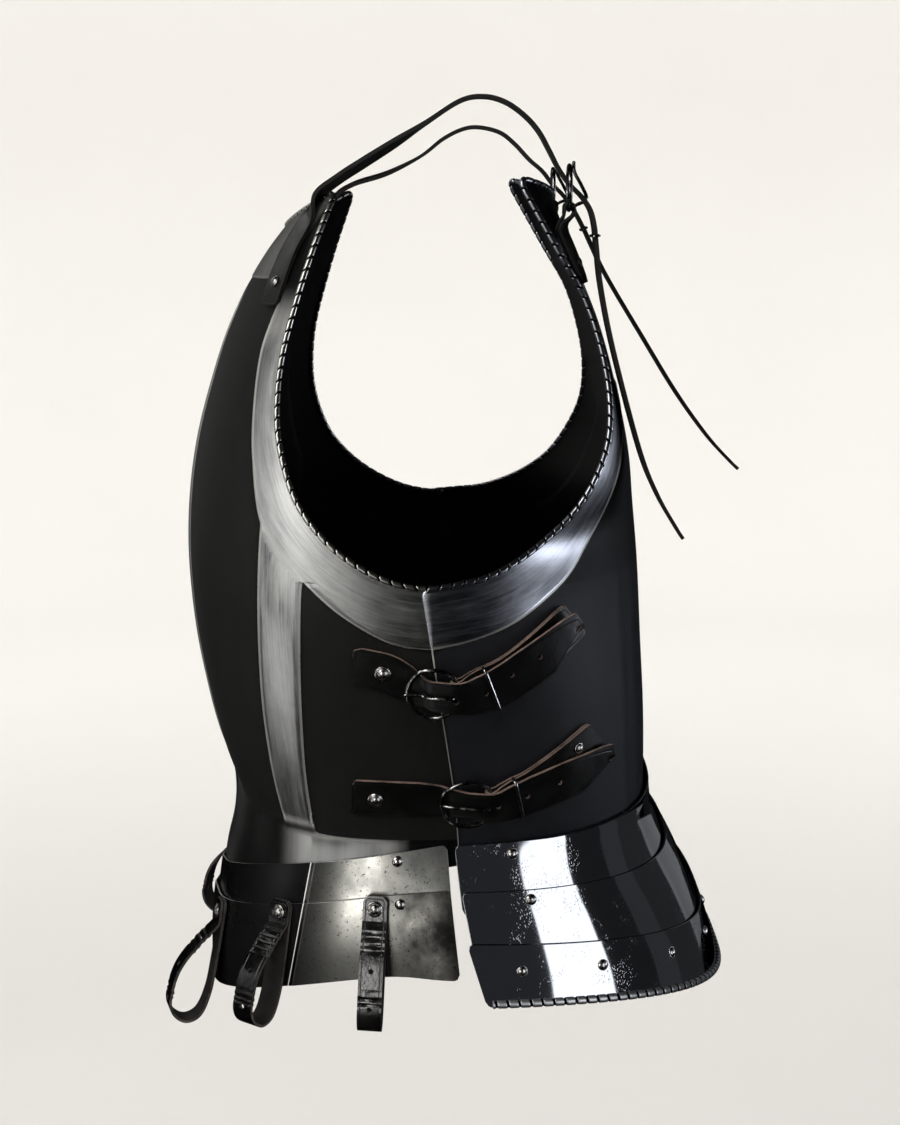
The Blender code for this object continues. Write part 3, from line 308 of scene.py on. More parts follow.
def inside(y, z, outline):
    """Distance inside a closed outline in side view, negative outside it."""
    a = np.array(outline, float)
    b = np.roll(a, -1, axis=0)
    p = np.stack([y, z], -1)[..., None, :]
    along = b - a
    t = np.clip(((p - a) * along).sum(-1) / (along**2).sum(-1), 0, 1)
    gap = np.linalg.norm(p - a - t[..., None] * along, axis=-1).min(-1)
    level = (a[:, 1] > p[..., 1]) != (b[:, 1] > p[..., 1])
    reach = np.where(
        level, along[:, 0] / np.where(level, along[:, 1], 1) * (p[..., 1] - a[:, 1]) + a[:, 0], 0,
    )
    odd = (level & (p[..., 0] < reach)).sum(-1) % 2 == 1
    return np.where(odd, gap, -gap)


def step_between(x, low, high):
    """0 below low, 1 above high, with a soft change between."""
    t = np.clip((x - low) / (high - low), 0, 1)
    return t * t * (3 - 2 * t)


def band_lines(steps, surface, outlines):
    """For each step: where the row from the centre line enters a band, leaves it, and enters again."""
    s = np.linspace(0, 1, 500)
    found = np.full((len(steps), 3), np.nan)
    for k, step in enumerate(steps):
        p = surface(s, step)
        d = np.max([inside(p[:, 1], p[:, 2], o) for o in outlines], axis=0)
        changes = np.flatnonzero((d[1:] > 0) != (d[:-1] > 0))[:3]
        for j, i in enumerate(changes):
            found[k, j] = s[i] + (s[i + 1] - s[i]) * d[i] / (d[i] - d[i + 1])
    return found


def run_along(line):
    """The distance along a line of points at each of them."""
    return np.concatenate([[0], np.cumsum(np.linalg.norm(np.diff(line, axis=0), axis=1))])


def whole_width(half, rise):
    """Columns and their rise on the whole width, from those on its left half."""
    return np.concatenate([-half[:, :0:-1], half], 1), np.concatenate([rise[:, :0:-1], rise], 1)


def columns_of(knots, counts):
    """Columns that keep to the knots, with so many steps between each two."""
    index = np.concatenate([[0], np.cumsum(counts)])
    return np.stack([np.interp(np.arange(index[-1] + 1), index, row) for row in knots])


def grid_quads(rows, columns):
    """Four corners for each cell of a grid of points."""
    at = np.arange(rows * columns).reshape(rows, columns)
    return np.stack([at[:-1, :-1], at[:-1, 1:], at[1:, 1:], at[1:, :-1]], -1).reshape(-1, 4)


def grid_mesh(name, points, quads, numbers):
    """A smooth mesh of quads, with a number or a vector for each point under each key."""
    mesh = bpy.data.meshes.new(name)
    mesh.from_pydata(points.reshape(-1, 3).tolist(), [], quads.tolist())
    for key, values in numbers.items():
        kind = "FLOAT_VECTOR" if values.ndim == 3 else "FLOAT"
        data = mesh.attributes.new(key, kind, "POINT").data
        data.foreach_set("vector" if values.ndim == 3 else "value", values.astype(np.float32).ravel())
    mesh.shade_smooth()
    return mesh


def sheet_mesh(name, points, numbers):
    """A mesh of quads through a grid of points, with its face away from the body's middle line."""
    quads = grid_quads(*points.shape[:2])
    flat = points.reshape(-1, 3)
    across = flat[quads[:, 1]] - flat[quads[:, 0]]
    up = flat[quads[:, 3]] - flat[quads[:, 0]]
    away = flat[quads[:, 0]] - np.array([0, MID_Y, 0])
    away[:, 2] = 0
    if (np.cross(across, up) * away).sum() < 0:
        quads = quads[:, ::-1]
    return grid_mesh(name, points, quads, numbers)


def fill(tree, node, settings, links):
    """Sets a node's properties and inputs by name or number, and joins its inputs to outputs. A node given
    as a source stands for its first output in use."""
    for key, value in settings.items():
        if isinstance(key, str) and hasattr(node, key):
            setattr(node, key, value)
        else:
            node.inputs[key].default_value = value
    for key, source in links.items():
        if isinstance(source, bpy.types.Node):
            source = next(output for output in source.outputs if output.enabled)
        tree.links.new(source, node.inputs[key])


def add(tree, kind, settings=None, links=None):
    """A new node with its settings and links."""
    node = tree.nodes.new(kind)
    fill(tree, node, settings or {}, links or {})
    return node


def linear(hex_colour):
    """An sRGB hex colour as linear red, green, blue, alpha."""
    parts = [int(hex_colour[i : i + 2], 16) / 255 for i in (1, 3, 5)]
    return (*[c / 12.92 if c <= 0.04045 else ((c + 0.055) / 1.055) ** 2.4 for c in parts], 1.0)


def new_material(name):
    """An empty material and its Principled shader, joined to the output."""
    made = bpy.data.materials.new(name)
    made.use_nodes = True
    made.node_tree.nodes.clear()
    shader = add(made.node_tree, "ShaderNodeBsdfPrincipled")
    add(made.node_tree, "ShaderNodeOutputMaterial", {}, {"Surface": shader})
    return made, made.node_tree, shader


def blacked_and_ground_steel(name, black, black_worn, bright_low, bright_high, gloss, sheen):
    """Sheet steel, blackened in oil to a satin that shows faint hammer waves and rubbed places, with bands
    ground bright along their length: fine scratches, dull patches, a painted highlight on the bevel and a
    painted shade line just outside the border. The attribute inset is the distance into a bright band in
    millimetres, and brush runs along and across."""
    made, tree, shader = new_material(name)
    spot = add(tree, "ShaderNodeTexCoord").outputs["Object"]
    inset = add(tree, "ShaderNodeAttribute", {"attribute_name": "inset"}).outputs["Fac"]
    fade = add(tree, "ShaderNodeAttribute", {"attribute_name": "fade"}).outputs["Fac"]
    brush = add(tree, "ShaderNodeAttribute", {"attribute_name": "brush"}).outputs["Vector"]
    # Hand-rubbed blacking: patches about 30 mm across, and a fine grain of 1 mm.
    patches = add(
        tree, "ShaderNodeTexNoise", {"Scale": 34.0, "Detail": 3.0, "Roughness": 0.55}, {"Vector": spot},
    )
    grain = add(
        tree, "ShaderNodeTexNoise", {"Scale": 900.0, "Detail": 2.0, "Roughness": 0.6}, {"Vector": spot},
    )
    dark = add(
        tree, "ShaderNodeMix", {"data_type": "RGBA", 6: linear(black), 7: linear(black_worn)}, {0: patches},
    )
    # Scratches from the wheel: 40 mm long along the band and about 0.8 mm apart, so that they show.
    along = add(tree, "ShaderNodeMapping", {"Scale": (20.0, 850.0, 1.0)}, {"Vector": brush})
    scratches = add(
        tree, "ShaderNodeTexNoise", {"Scale": 1.0, "Detail": 4.0, "Roughness": 0.7}, {"Vector": along}
    )
    wide = add(tree, "ShaderNodeMapping", {"Scale": (26.0, 90.0, 1.0)}, {"Vector": brush})
    dull = add(tree, "ShaderNodeTexNoise", {"Scale": 1.0, "Detail": 5.0, "Roughness": 0.65}, {"Vector": wide})
    tone = add(tree, "ShaderNodeMath", {"operation": "ADD"}, {0: scratches, 1: dull})
    tone = add(tree, "ShaderNodeMapRange", {"From Min": 0.70, "From Max": 1.28}, {"Value": tone})
    bright = add(
        tree,
        "ShaderNodeMix",
        {"data_type": "RGBA", 6: linear(bright_low), 7: linear(bright_high)},
        {0: tone},
    )
    # The bevel at the border carries a painted highlight: its colour is lighter than the band's.
    bevel = add(
        tree, "ShaderNodeMapRange", {"From Min": 2.2, "From Max": 1.2, "interpolation_type": "SMOOTHSTEP"},
        {"Value": inset},
    )
    lit = add(tree, "ShaderNodeMix", {"data_type": "RGBA", 7: linear("#d9d8d2")}, {0: bevel, 6: bright})
    wander = add(tree, "ShaderNodeMath", {"operation": "MULTIPLY_ADD", 1: 0.5, 2: -0.25}, {0: grain})
    border = add(tree, "ShaderNodeMath", {"operation": "ADD"}, {0: inset, 1: wander})
    polish = add(
        tree, "ShaderNodeMapRange", {"From Min": -0.15, "From Max": 0.25, "interpolation_type": "SMOOTHSTEP"},
        {"Value": border},
    )
    polish = add(tree, "ShaderNodeMath", {"operation": "MULTIPLY"}, {0: polish, 1: fade})
    # Painted shade: the black is darkened to as little as a quarter within 2 mm outside each band's border.
    groove = add(
        tree, "ShaderNodeMapRange", {"From Min": -2.0, "From Max": -0.3, "To Min": 1.0, "To Max": 0.25},
        {"Value": inset},
    )
    black_with_painted_border_shade = add(
        tree, "ShaderNodeMix", {"data_type": "RGBA", "blend_type": "MULTIPLY", 0: 1.0}, {6: dark, 7: groove},
    )
    colour = add(tree, "ShaderNodeMix", {"data_type": "RGBA"}, {0: polish, 6: black_with_painted_border_shade, 7: lit})
    black_rough = add(
        tree, "ShaderNodeMapRange", {"To Min": gloss, "To Max": gloss + 0.10}, {"Value": patches}
    )
    bright_rough = add(tree, "ShaderNodeMapRange", {"To Min": 0.27, "To Max": 0.42}, {"Value": tone})
    rough = add(tree, "ShaderNodeMix", {"data_type": "FLOAT"}, {0: polish, 2: black_rough, 3: bright_rough})
    scuffed = add(tree, "ShaderNodeMath", {"operation": "MULTIPLY_ADD", 1: 0.22}, {0: bevel, 2: rough})
    cut = add(tree, "ShaderNodeBump", {"Strength": 0.13, "Distance": 0.0005}, {"Height": scratches})
    waves = add(
        tree, "ShaderNodeBump", {"Strength": 0.12, "Distance": 0.002}, {"Height": patches, "Normal": cut},
    )
    fill(
        tree, shader, {"Specular IOR Level": sheen},
        {"Base Color": colour, "Roughness": scuffed, "Metallic": polish, "Normal": waves},
    )
    return made


def worn_surface(name, grain, low, high, spread, rough, metallic=1.0, bump=None):
    """A surface that runs from the low colour to the high one with a fine noise. Grain is the noise's scale,
    detail and roughness, spread the part of it that is used, and rough either fixed or low and high."""
    made, tree, shader = new_material(name)
    spot = add(tree, "ShaderNodeTexCoord").outputs["Object"]
    noise = add(
        tree, "ShaderNodeTexNoise", dict(zip(("Scale", "Detail", "Roughness"), grain)), {"Vector": spot}
    )
    tone = add(tree, "ShaderNodeMapRange", {"From Min": spread[0], "From Max": spread[1]}, {"Value": noise})
    colour = add(tree, "ShaderNodeMix", {"data_type": "RGBA", 6: linear(low), 7: linear(high)}, {0: tone})
    values, links = {"Metallic": metallic}, {"Base Color": colour}
    if isinstance(rough, float):
        values["Roughness"] = rough
    else:
        links["Roughness"] = add(
            tree, "ShaderNodeMapRange", {"To Min": rough[0], "To Max": rough[1]}, {"Value": tone},
        )
    if bump:
        links["Normal"] = add(
            tree, "ShaderNodeBump", {"Strength": bump[0], "Distance": bump[1]}, {"Height": noise},
        )
    fill(tree, shader, values, links)
    return made


# The unseen inner face, left as forged and oiled black: rough, with scale in small flecks.
INSIDE = worn_surface(
    "forged_inside", (160.0, 5.0, 0.6), "#040404", "#141313", (0.0, 1.0), 0.62, 0.6, (0.2, 0.0004)
)
# A sheared edge, filed and rubbed bright along its length.
FILED_EDGE = worn_surface("filed_edge", (120.0, 4.0), "#8d8f92", "#d6d6d2", (0.0, 1.0), 0.32)


def thicken(obj, thickness, offset, materials):
    """Gives a sheet its thickness. Materials: the face's, the other side's and the cut edge's."""
    for material in materials:
        obj.data.materials.append(material)
    shell = obj.modifiers.new("thickness", "SOLIDIFY")
    shell.thickness, shell.offset = thickness, offset
    shell.material_offset, shell.material_offset_rim = 1, 2


def finish_piece(obj, body, slot, *nodes, soft_from=None):
    """Joins a piece to its body and the nodes it stands for. Edges sharper than soft_from degrees are
    softened, where it is given. The slot is not used."""
    if soft_from:
        rim = obj.modifiers.new("softened_rim", "BEVEL")
        rim.width, rim.segments = SOFT_RIM, 2
        rim.limit_method, rim.angle_limit = "ANGLE", math.radians(soft_from)
        rim.harden_normals = True
    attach(obj, body)
    if nodes:
        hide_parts(*nodes)


def plate_piece(mesh, outer, body, slot, node):
    """A sheet given its thickness on the inner side, with a softened rim, riding on its body."""
    obj = placed(mesh.name, mesh)
    thicken(obj, PLATE, -1, (outer, INSIDE, FILED_EDGE))
    finish_piece(obj, body, slot, node, soft_from=55)


def tip_round(s, step):
    """Steps lowered near the shoulder tip, so that its corner is rounded."""
    near = np.clip((abs(s) - (1 - TIP_WIDE)) / TIP_WIDE, 0, 1)
    drop = TIP_DROP * (1 - np.sqrt(1 - near**2))
    return step - drop * np.clip((step - (LAST_STEP - 2)) / 2, 0, 1)


def arm_brush(points, edge_line):
    """Distance along the armhole's edge and away from it, in metres, for each point."""
    flat = points.reshape(-1, 3) * 1.0
    flat[:, 0] = abs(flat[:, 0])
    ahead = (edge_line[0] - edge_line[3]) / np.linalg.norm(edge_line[0] - edge_line[3])
    edge_line = np.concatenate([edge_line[0] + np.linspace(0.07, 0.001, 70)[:, None] * ahead, edge_line])
    length = run_along(edge_line)
    nearest = np.empty(len(flat), int)
    for k in range(0, len(flat), 4000):
        gaps = ((flat[k : k + 4000, None] - edge_line[None]) ** 2).sum(-1)
        nearest[k : k + 4000] = gaps.argmin(1)
    away = np.linalg.norm(flat - edge_line[nearest], axis=1)
    return np.stack([length[nearest], away, 0 * away], -1).reshape(points.shape)


def eased_waist(points, passes):
    """The grid with its crease at the waist rounded, as a mallet leaves it: the more passes the wider."""
    soft = (1 - step_between(abs(points[..., 2] - WAIST_Z), 0.006, 0.016))[1:-1, :, None]
    for _ in range(passes):
        points[1:-1] += 0.5 * soft * ((points[:-2] + points[2:]) / 2 - points[1:-1])
    return points


def breast(s, step, rise=0.0):
    """A point on the breastplate."""
    return plate_point(BREAST_EDGE, "front", BREAST_FLANGE, 0.0, s, tip_round(s, step), rise)


SMOOTH_ARM_BAND = [*curve_through(ARM_BAND, 5), (0.010, -0.03), (-0.06, -0.03)]
SMOOTH_SIDE_BAND = [*curve_through(SIDE_BAND_FRONT, 5), *curve_through(SIDE_BAND_BACK, 5)]
steps = np.concatenate(
    [
        np.linspace(-1, 0, 22)[:-1],
        np.linspace(0, 3.4, 46)[:-1],
        np.linspace(3.4, 10, 86)[:-1],
        np.linspace(10, NECK_CREASE_STEP - 0.06, 46),
        np.linspace(NECK_CREASE_STEP, LAST_STEP, 17),
    ]
)
found = band_lines(np.maximum(steps, 0), breast, (SMOOTH_ARM_BAND, SMOOTH_SIDE_BAND))
enters, leaves, again = found.T
wedge = np.isfinite(again)
both = np.isfinite(leaves)
top = np.flatnonzero(both)[-1]
share = (leaves[top] - enters[top]) / (1 - enters[top])
leaves = np.where(both, leaves, enters + share * (1 - enters))
below = np.arange(len(steps)) <= top
again = np.where(wedge, again, np.where(below, 1.0, leaves))
open_gap = 0.015 + 0.05 * step_between(np.arange(len(steps)), top, top + 20)
again = np.minimum(np.maximum(again, leaves + open_gap), BAND_LIMIT)
lengths = np.linalg.norm(np.diff(breast(np.linspace(0, 1, 60)[None], steps[:, None]), axis=1), axis=-1).sum(1)
tiny = BEVEL / lengths
strip = MIDDLE_STRIP / lengths
knots = np.stack(
    [
        0 * strip, strip - tiny * 0.6, strip, enters, enters + tiny, leaves - tiny, leaves, again,
        again + np.minimum(1.6 * tiny, 0.7 * (1 - again)), 0 * strip + 1,
    ],
    1,
)
half = columns_of(knots, BREAST_COLUMNS)
merged = np.arange(len(steps)) > top
has_arm = wedge | merged
flat, proud = 0 * strip, 0 * strip + 1
level = np.stack([flat + 0.6, flat + 0.6, flat, flat, proud, proud, merged, merged, has_arm, has_arm], 1)
s, rise = whole_width(half, columns_of(level.astype(float), BREAST_COLUMNS))
grid_step = np.broadcast_to(steps[:, None], s.shape)
flat_points = breast(s, grid_step)
height = flat_points[..., 2]
rise = rise * step_between(-height, 0.112, 0.135)
neck = step_between(grid_step, NECK_CREASE_STEP - 0.05, NECK_CREASE_STEP)
neck *= 1 - step_between(abs(flat_points[..., 0]), 0.104, 0.114)
rise = np.maximum(rise, neck * 0.8) * BAND_RISE
rise *= step_between(grid_step, -0.25, 0.0)
points = eased_waist(breast(s, grid_step, rise), BREAST_WAIST_PASSES)
bands = np.max(
    [inside(points[..., 1], points[..., 2], o) for o in (SMOOTH_ARM_BAND, SMOOTH_SIDE_BAND)], axis=0,
)
bands = np.maximum(bands, MIDDLE_STRIP - abs(points[..., 0]))
neck_in = np.where(neck > 0.02, (grid_step - NECK_CREASE_STEP) * 0.030, -1)
below_waist = WAIST_Z - points[..., 2]
flare = np.where(below_waist > -0.003, 0.004, -1)
inset = np.maximum(np.maximum(bands, neck_in), flare) * 1000
fade = step_between(-height, 0.118, 0.170) * (1 - 0.75 * neck)
fade = np.maximum(fade, 0.13 * neck)
# The bands die away at the waist, and the flare below it is rubbed bright at the side.
flare_fade = (
    step_between(below_waist, -0.004, 0.003)
    * step_between(points[..., 1], -0.140, -0.104)
    * (1 - step_between(points[..., 1], -0.075, -0.042))
)
on_band = inside(points[..., 1], points[..., 2], SMOOTH_SIDE_BAND) > 0
on_band |= abs(points[..., 0]) < MIDDLE_STRIP
band_fade = np.where(on_band, 1 - step_between(below_waist, -0.013, -0.004), 0)
fade = np.where(below_waist > -0.022, np.maximum(flare_fade, band_fade), fade)
edge_line = breast(np.ones(400), np.linspace(ARM_START, LAST_STEP, 400))
brush = arm_brush(points, edge_line)
round_body = np.arctan2(abs(points[..., 0]), MID_Y - points[..., 1]) * 0.19
upright = np.stack([points[..., 2], round_body, 0 * s], -1)
arm_part = inside(points[..., 1], points[..., 2], SMOOTH_ARM_BAND) > -0.001
brush = np.where(arm_part[..., None], brush, upright)
brush = np.where(below_waist[..., None] > 0, brush * 0.04, brush)
BREAST_STEEL = blacked_and_ground_steel(
    "breastplate_blacked_steel", "#0b0b0b", "#131312", "#8f9192", "#d2d2ce", 0.36, 0.20
)
sheet = sheet_mesh("breastplate_raised", points, {"inset": inset, "fade": fade, "brush": brush})
plate_piece(sheet, BREAST_STEEL, "root", "breastplate_steel", "breastplate")

# --------------------------------------------------------------------------------------------------------
# Backplate. A second 1.5 mm sheet that laps over the breastplate's sides, boxed across the shoulder blades,
# blackened to a bluer black, with a ground band round each armhole.
BACK_EDGE = (
    (-0.505, -0.0095, -0.505), (-0.470, -0.0120, -0.470), (-0.430, -0.0172, -0.430),
    (-0.390, -0.0230, -0.390), (-0.355, -0.0285, -0.350), (-0.330, -0.0340, -0.3160),
    (-0.322, -0.0110, -0.3130), (-0.312, 0.0100, -0.3095), (-0.300, 0.0310, -0.3010),
    (-0.286, 0.0520, -0.2880), (-0.268, 0.0700, -0.2720), (-0.246, 0.0845, -0.2500),
    (-0.220, 0.0940, -0.2250), (-0.190, 0.0955, -0.1970), (-0.160, 0.0905, -0.1660),
    (-0.128, 0.0790, -0.1310), (-0.095, 0.0600, -0.0980), (-0.062, 0.0305, -0.0470),
)
BACK_FLANGE = (0.20, 0.20)
BACKPLATE_OUT = PLATE + LAYER_GAP
BACK_BAND = (
    (-0.0600, -0.3570), (-0.0310, -0.3563), (-0.0060, -0.3530), (0.0270, -0.3430), (0.0520, -0.3285),
    (0.0690, -0.3155), (0.0810, -0.3000), (0.0910, -0.2840), (0.0990, -0.2660), (0.1050, -0.2460),
    (0.1070, -0.2240), (0.1055, -0.2000), (0.1010, -0.1720), (0.0930, -0.1430), (0.0820, -0.1180),
    (0.0680, -0.0930), (0.0480, -0.0600), (0.0380, -0.0350),
)
# Height, and how wide the band is at most, measured round the body from the armhole.
BACK_BAND_WIDTH = ((-0.305, 0.300), (-0.290, 0.075), (-0.266, 0.055), (-0.224, 0.040), (-0.120, 0.030))
SMOOTH_BACK_BAND = [*curve_through(BACK_BAND, 5), (-0.06, -0.035)]
SEAM_CHAMFER, SEAM_CHAMFER_DEPTH = 0.0009, 0.0006
# Fewer than in front, so that the culet clears the crease when it slides up.
BACK_WAIST_PASSES = 3


def back(s, step, rise=0.0):
    """A point on the backplate."""
    return plate_point(BACK_EDGE, "back", BACK_FLANGE, BACKPLATE_OUT, s, tip_round(s, step), rise)


steps = np.concatenate(
    [
        np.linspace(-1, 0, 20)[:-1],
        np.linspace(0, 3.4, 46)[:-1],
        np.linspace(3.4, 10, 90)[:-1],
        np.linspace(10, LAST_STEP, 66),
    ]
)
found = band_lines(np.maximum(steps, 0), back, (SMOOTH_BACK_BAND,))
centre = back(0 * steps, steps)
whole = inside(centre[:, 1], centre[:, 2], SMOOTH_BACK_BAND) > 0
has_band = np.isfinite(found[:, 0]) & ~whole
lengths = np.linalg.norm(np.diff(back(np.linspace(0, 1, 60)[None], steps[:, None]), axis=1), axis=-1).sum(1)
widest = 1 - np.interp(centre[:, 2], *zip(*BACK_BAND_WIDTH)) / lengths
enters = np.where(has_band, np.maximum(np.nan_to_num(found[:, 0]), widest), np.where(whole, widest, 1.0))
enters = np.minimum(enters, BAND_LIMIT)
tiny = BEVEL / lengths
rim = 1 - SEAM_CHAMFER / lengths
enters = np.minimum(enters, rim - 1.2 * tiny)
knots = np.stack(
    [0 * tiny, enters, enters + np.minimum(1.3 * tiny, 0.7 * (rim - enters)), rim, 0 * tiny + 1], 1,
)
level = np.stack([0 * tiny, 0 * tiny, has_band, has_band, has_band], 1)
counts = (46, 1, 20, 3)
s, rise = whole_width(columns_of(knots, counts), columns_of(level.astype(float), counts))
rise = rise * BAND_RISE
grid_step = np.broadcast_to(steps[:, None], s.shape)
# Two shallow flutes run down each side of the back.
flat_points = back(s, grid_step)
for at, deep in ((0.1090, 0.0009), (0.1200, 0.0007)):
    gap = (flat_points[..., 1] - at + 0.05 * (flat_points[..., 2] + 0.40)) / 0.0035
    rise = rise + deep * np.exp(-(gap**2)) * step_between(-flat_points[..., 2], 0.30, 0.36)
# The seam edge is filed to a bright slope a little over a millimetre wide, and the finish also paints it near
# white as a painted highlight.
into_rim = np.where(grid_step < 5.4, SEAM_CHAMFER - (1 - abs(s)) * lengths[:, None], -SEAM_CHAMFER)
rise = rise - SEAM_CHAMFER_DEPTH * np.clip(into_rim / SEAM_CHAMFER, 0, 1)
points = eased_waist(back(s, grid_step, rise), BACK_WAIST_PASSES)
into_band = (abs(s) - enters[:, None]) * lengths[:, None]
into_band = np.minimum(inside(points[..., 1], points[..., 2], SMOOTH_BACK_BAND), into_band)
inset = np.maximum(into_band, into_rim) * 1000
edge_line = back(np.ones(400), np.linspace(ARM_START, LAST_STEP, 400))
fade = step_between(-points[..., 2], 0.085, 0.14)
fade *= 1 - 0.88 * step_between(-points[..., 2], 0.350, 0.395)
BACK_STEEL = blacked_and_ground_steel(
    "backplate_blacked_steel", "#0d0e11", "#17191f", "#8e9198", "#d4d7dd", 0.27, 0.20
)
brush = arm_brush(points, edge_line)
sheet = sheet_mesh("backplate_raised", points, {"inset": inset, "fade": fade, "brush": brush})
plate_piece(sheet, BACK_STEEL, "root", "backplate_steel", "backplate")

# --------------------------------------------------------------------------------------------------------
# Roped edges. The plate's edge is rolled outwards over a wire and notched with a file every 8 or 9 mm, so
# that it looks like a cord. The crowns are bright, and the black stays in the notches.
ROLL_RADIUS = 0.0022
NOTCH_PITCH = 0.0086
ROLL_OUT = 0.0004


def new_group(name, inputs):
    """A geometry group with a Geometry input and output, a Finish, and inputs by name: kind and default."""
    tree = bpy.data.node_groups.new(name, "GeometryNodeTree")
    for way in ("INPUT", "OUTPUT"):
        tree.interface.new_socket("Geometry", in_out=way, socket_type="NodeSocketGeometry")
    for label, (kind, value) in {**inputs, "Finish": ("Material", None)}.items():
        socket = tree.interface.new_socket(label, in_out="INPUT", socket_type="NodeSocket" + kind)
        if value is not None:
            socket.default_value = value
    return tree, add(tree, "NodeGroupInput").outputs


def close_group(tree, given, made):
    """Ends a group: whole geometry, in its finish."""
    whole = add(tree, "GeometryNodeRealizeInstances", {}, {0: made})
    dressed = add(tree, "GeometryNodeSetMaterial", {}, {"Geometry": whole, "Material": given["Finish"]})
    add(tree, "NodeGroupOutput", {}, {0: dressed})
    return tree


def rolled_edge_tree():
    """A roll of round section along each curve, notched at an even pitch, with the notch depth kept as an
    attribute for the finish."""
    sizes = {
        "Radius": ROLL_RADIUS, "Pitch": NOTCH_PITCH, "Notch width": 0.0021, "Notch depth": 0.0010,
        "Lean": 0.0016, "Step": 0.00045,
    }
    tree, given = new_group("rolled_notched_edge", {name: ("Float", value) for name, value in sizes.items()})
    line = add(
        tree, "GeometryNodeResampleCurve", {"mode": "LENGTH"},
        {"Curve": given["Geometry"], "Length": given["Step"]},
    )
    place = add(tree, "GeometryNodeSplineParameter")
    kept = add(
        tree, "GeometryNodeStoreNamedAttribute", {"data_type": "FLOAT", "domain": "POINT", "Name": "run"},
        {"Geometry": line, "Value": place.outputs["Length"]},
    )
    circle = add(
        tree, "GeometryNodeCurvePrimitiveCircle", {"mode": "RADIUS", "Resolution": 14},
        {"Radius": given["Radius"]},
    )
    around = add(tree, "GeometryNodeSplineParameter")
    turned = add(
        tree, "GeometryNodeStoreNamedAttribute", {"data_type": "FLOAT", "domain": "POINT", "Name": "turn"},
        {"Geometry": circle, "Value": around},
    )
    roll = add(tree, "GeometryNodeCurveToMesh", {"Fill Caps": True}, {"Curve": kept, "Profile Curve": turned})
    run = add(tree, "GeometryNodeInputNamedAttribute", {"data_type": "FLOAT", "Name": "run"})
    turn = add(tree, "GeometryNodeInputNamedAttribute", {"data_type": "FLOAT", "Name": "turn"})
    wave = add(tree, "ShaderNodeMath", {"operation": "MULTIPLY", 1: 2 * math.pi}, {0: turn})
    wave = add(tree, "ShaderNodeMath", {"operation": "SINE"}, {0: wave})
    lean = add(tree, "ShaderNodeMath", {"operation": "MULTIPLY_ADD"}, {0: wave, 1: given["Lean"], 2: run})
    cycle = add(tree, "ShaderNodeMath", {"operation": "PINGPONG"}, {0: lean, 1: given["Pitch"]})
    # The ping-pong runs up and down over twice the pitch, so a notch stands at each of its ends.
    half = add(tree, "ShaderNodeMath", {"operation": "MULTIPLY", 1: 0.5}, {0: given["Pitch"]})
    off = add(tree, "ShaderNodeMath", {"operation": "SUBTRACT"}, {0: cycle, 1: half})
    off = add(tree, "ShaderNodeMath", {"operation": "ABSOLUTE"}, {0: off})
    near = add(tree, "ShaderNodeMath", {"operation": "SUBTRACT"}, {0: half, 1: off})
    notch = add(
        tree, "ShaderNodeMapRange", {"interpolation_type": "SMOOTHSTEP", "To Min": 1.0, "To Max": 0.0},
        {"Value": near, "From Max": given["Notch width"]},
    )
    marked = add(
        tree, "GeometryNodeStoreNamedAttribute", {"data_type": "FLOAT", "domain": "POINT", "Name": "notch"},
        {"Geometry": roll, "Value": notch},
    )
    sink = add(tree, "ShaderNodeMath", {"operation": "MULTIPLY"}, {0: notch, 1: given["Notch depth"]})
    sink = add(tree, "ShaderNodeMath", {"operation": "MULTIPLY", 1: -1.0}, {0: sink})
    normal = add(tree, "GeometryNodeInputNormal")
    shift = add(tree, "ShaderNodeVectorMath", {"operation": "SCALE"}, {0: normal, "Scale": sink})
    moved = add(tree, "GeometryNodeSetPosition", {}, {"Geometry": marked, "Offset": shift})
    soft = add(tree, "GeometryNodeSetShadeSmooth", {}, {0: moved})
    return close_group(tree, given, soft)


def settled(name, start):
    """The starting object's evaluated shape as a new object with a plain mesh. The start is removed."""
    graph = bpy.context.evaluated_depsgraph_get()
    mesh = bpy.data.meshes.new_from_object(start.evaluated_get(graph))
    bpy.data.objects.remove(start)
    mesh.name = name
    return placed(name, mesh)


def grown(name, start, tree, inputs):
    """What a tree makes from a starting object, with the tree's named inputs set."""
    maker = start.modifiers.new(tree.name, "NODES")
    maker.node_group = tree
    for item in tree.interface.items_tree:
        if item.item_type == "SOCKET" and item.in_out == "INPUT" and item.name in inputs:
            maker[item.identifier] = inputs[item.name]
    return settled(name, start)


def path_object(name, points):
    """A curve object with one open line through the points."""
    data = bpy.data.curves.new(name + "_route", "CURVE")
    data.dimensions = "3D"
    line = data.splines.new("POLY")
    line.points.add(len(points) - 1)
    line.points.foreach_set("co", np.concatenate([points, np.ones((len(points), 1))], 1).ravel())
    return placed(name + "_route", data)


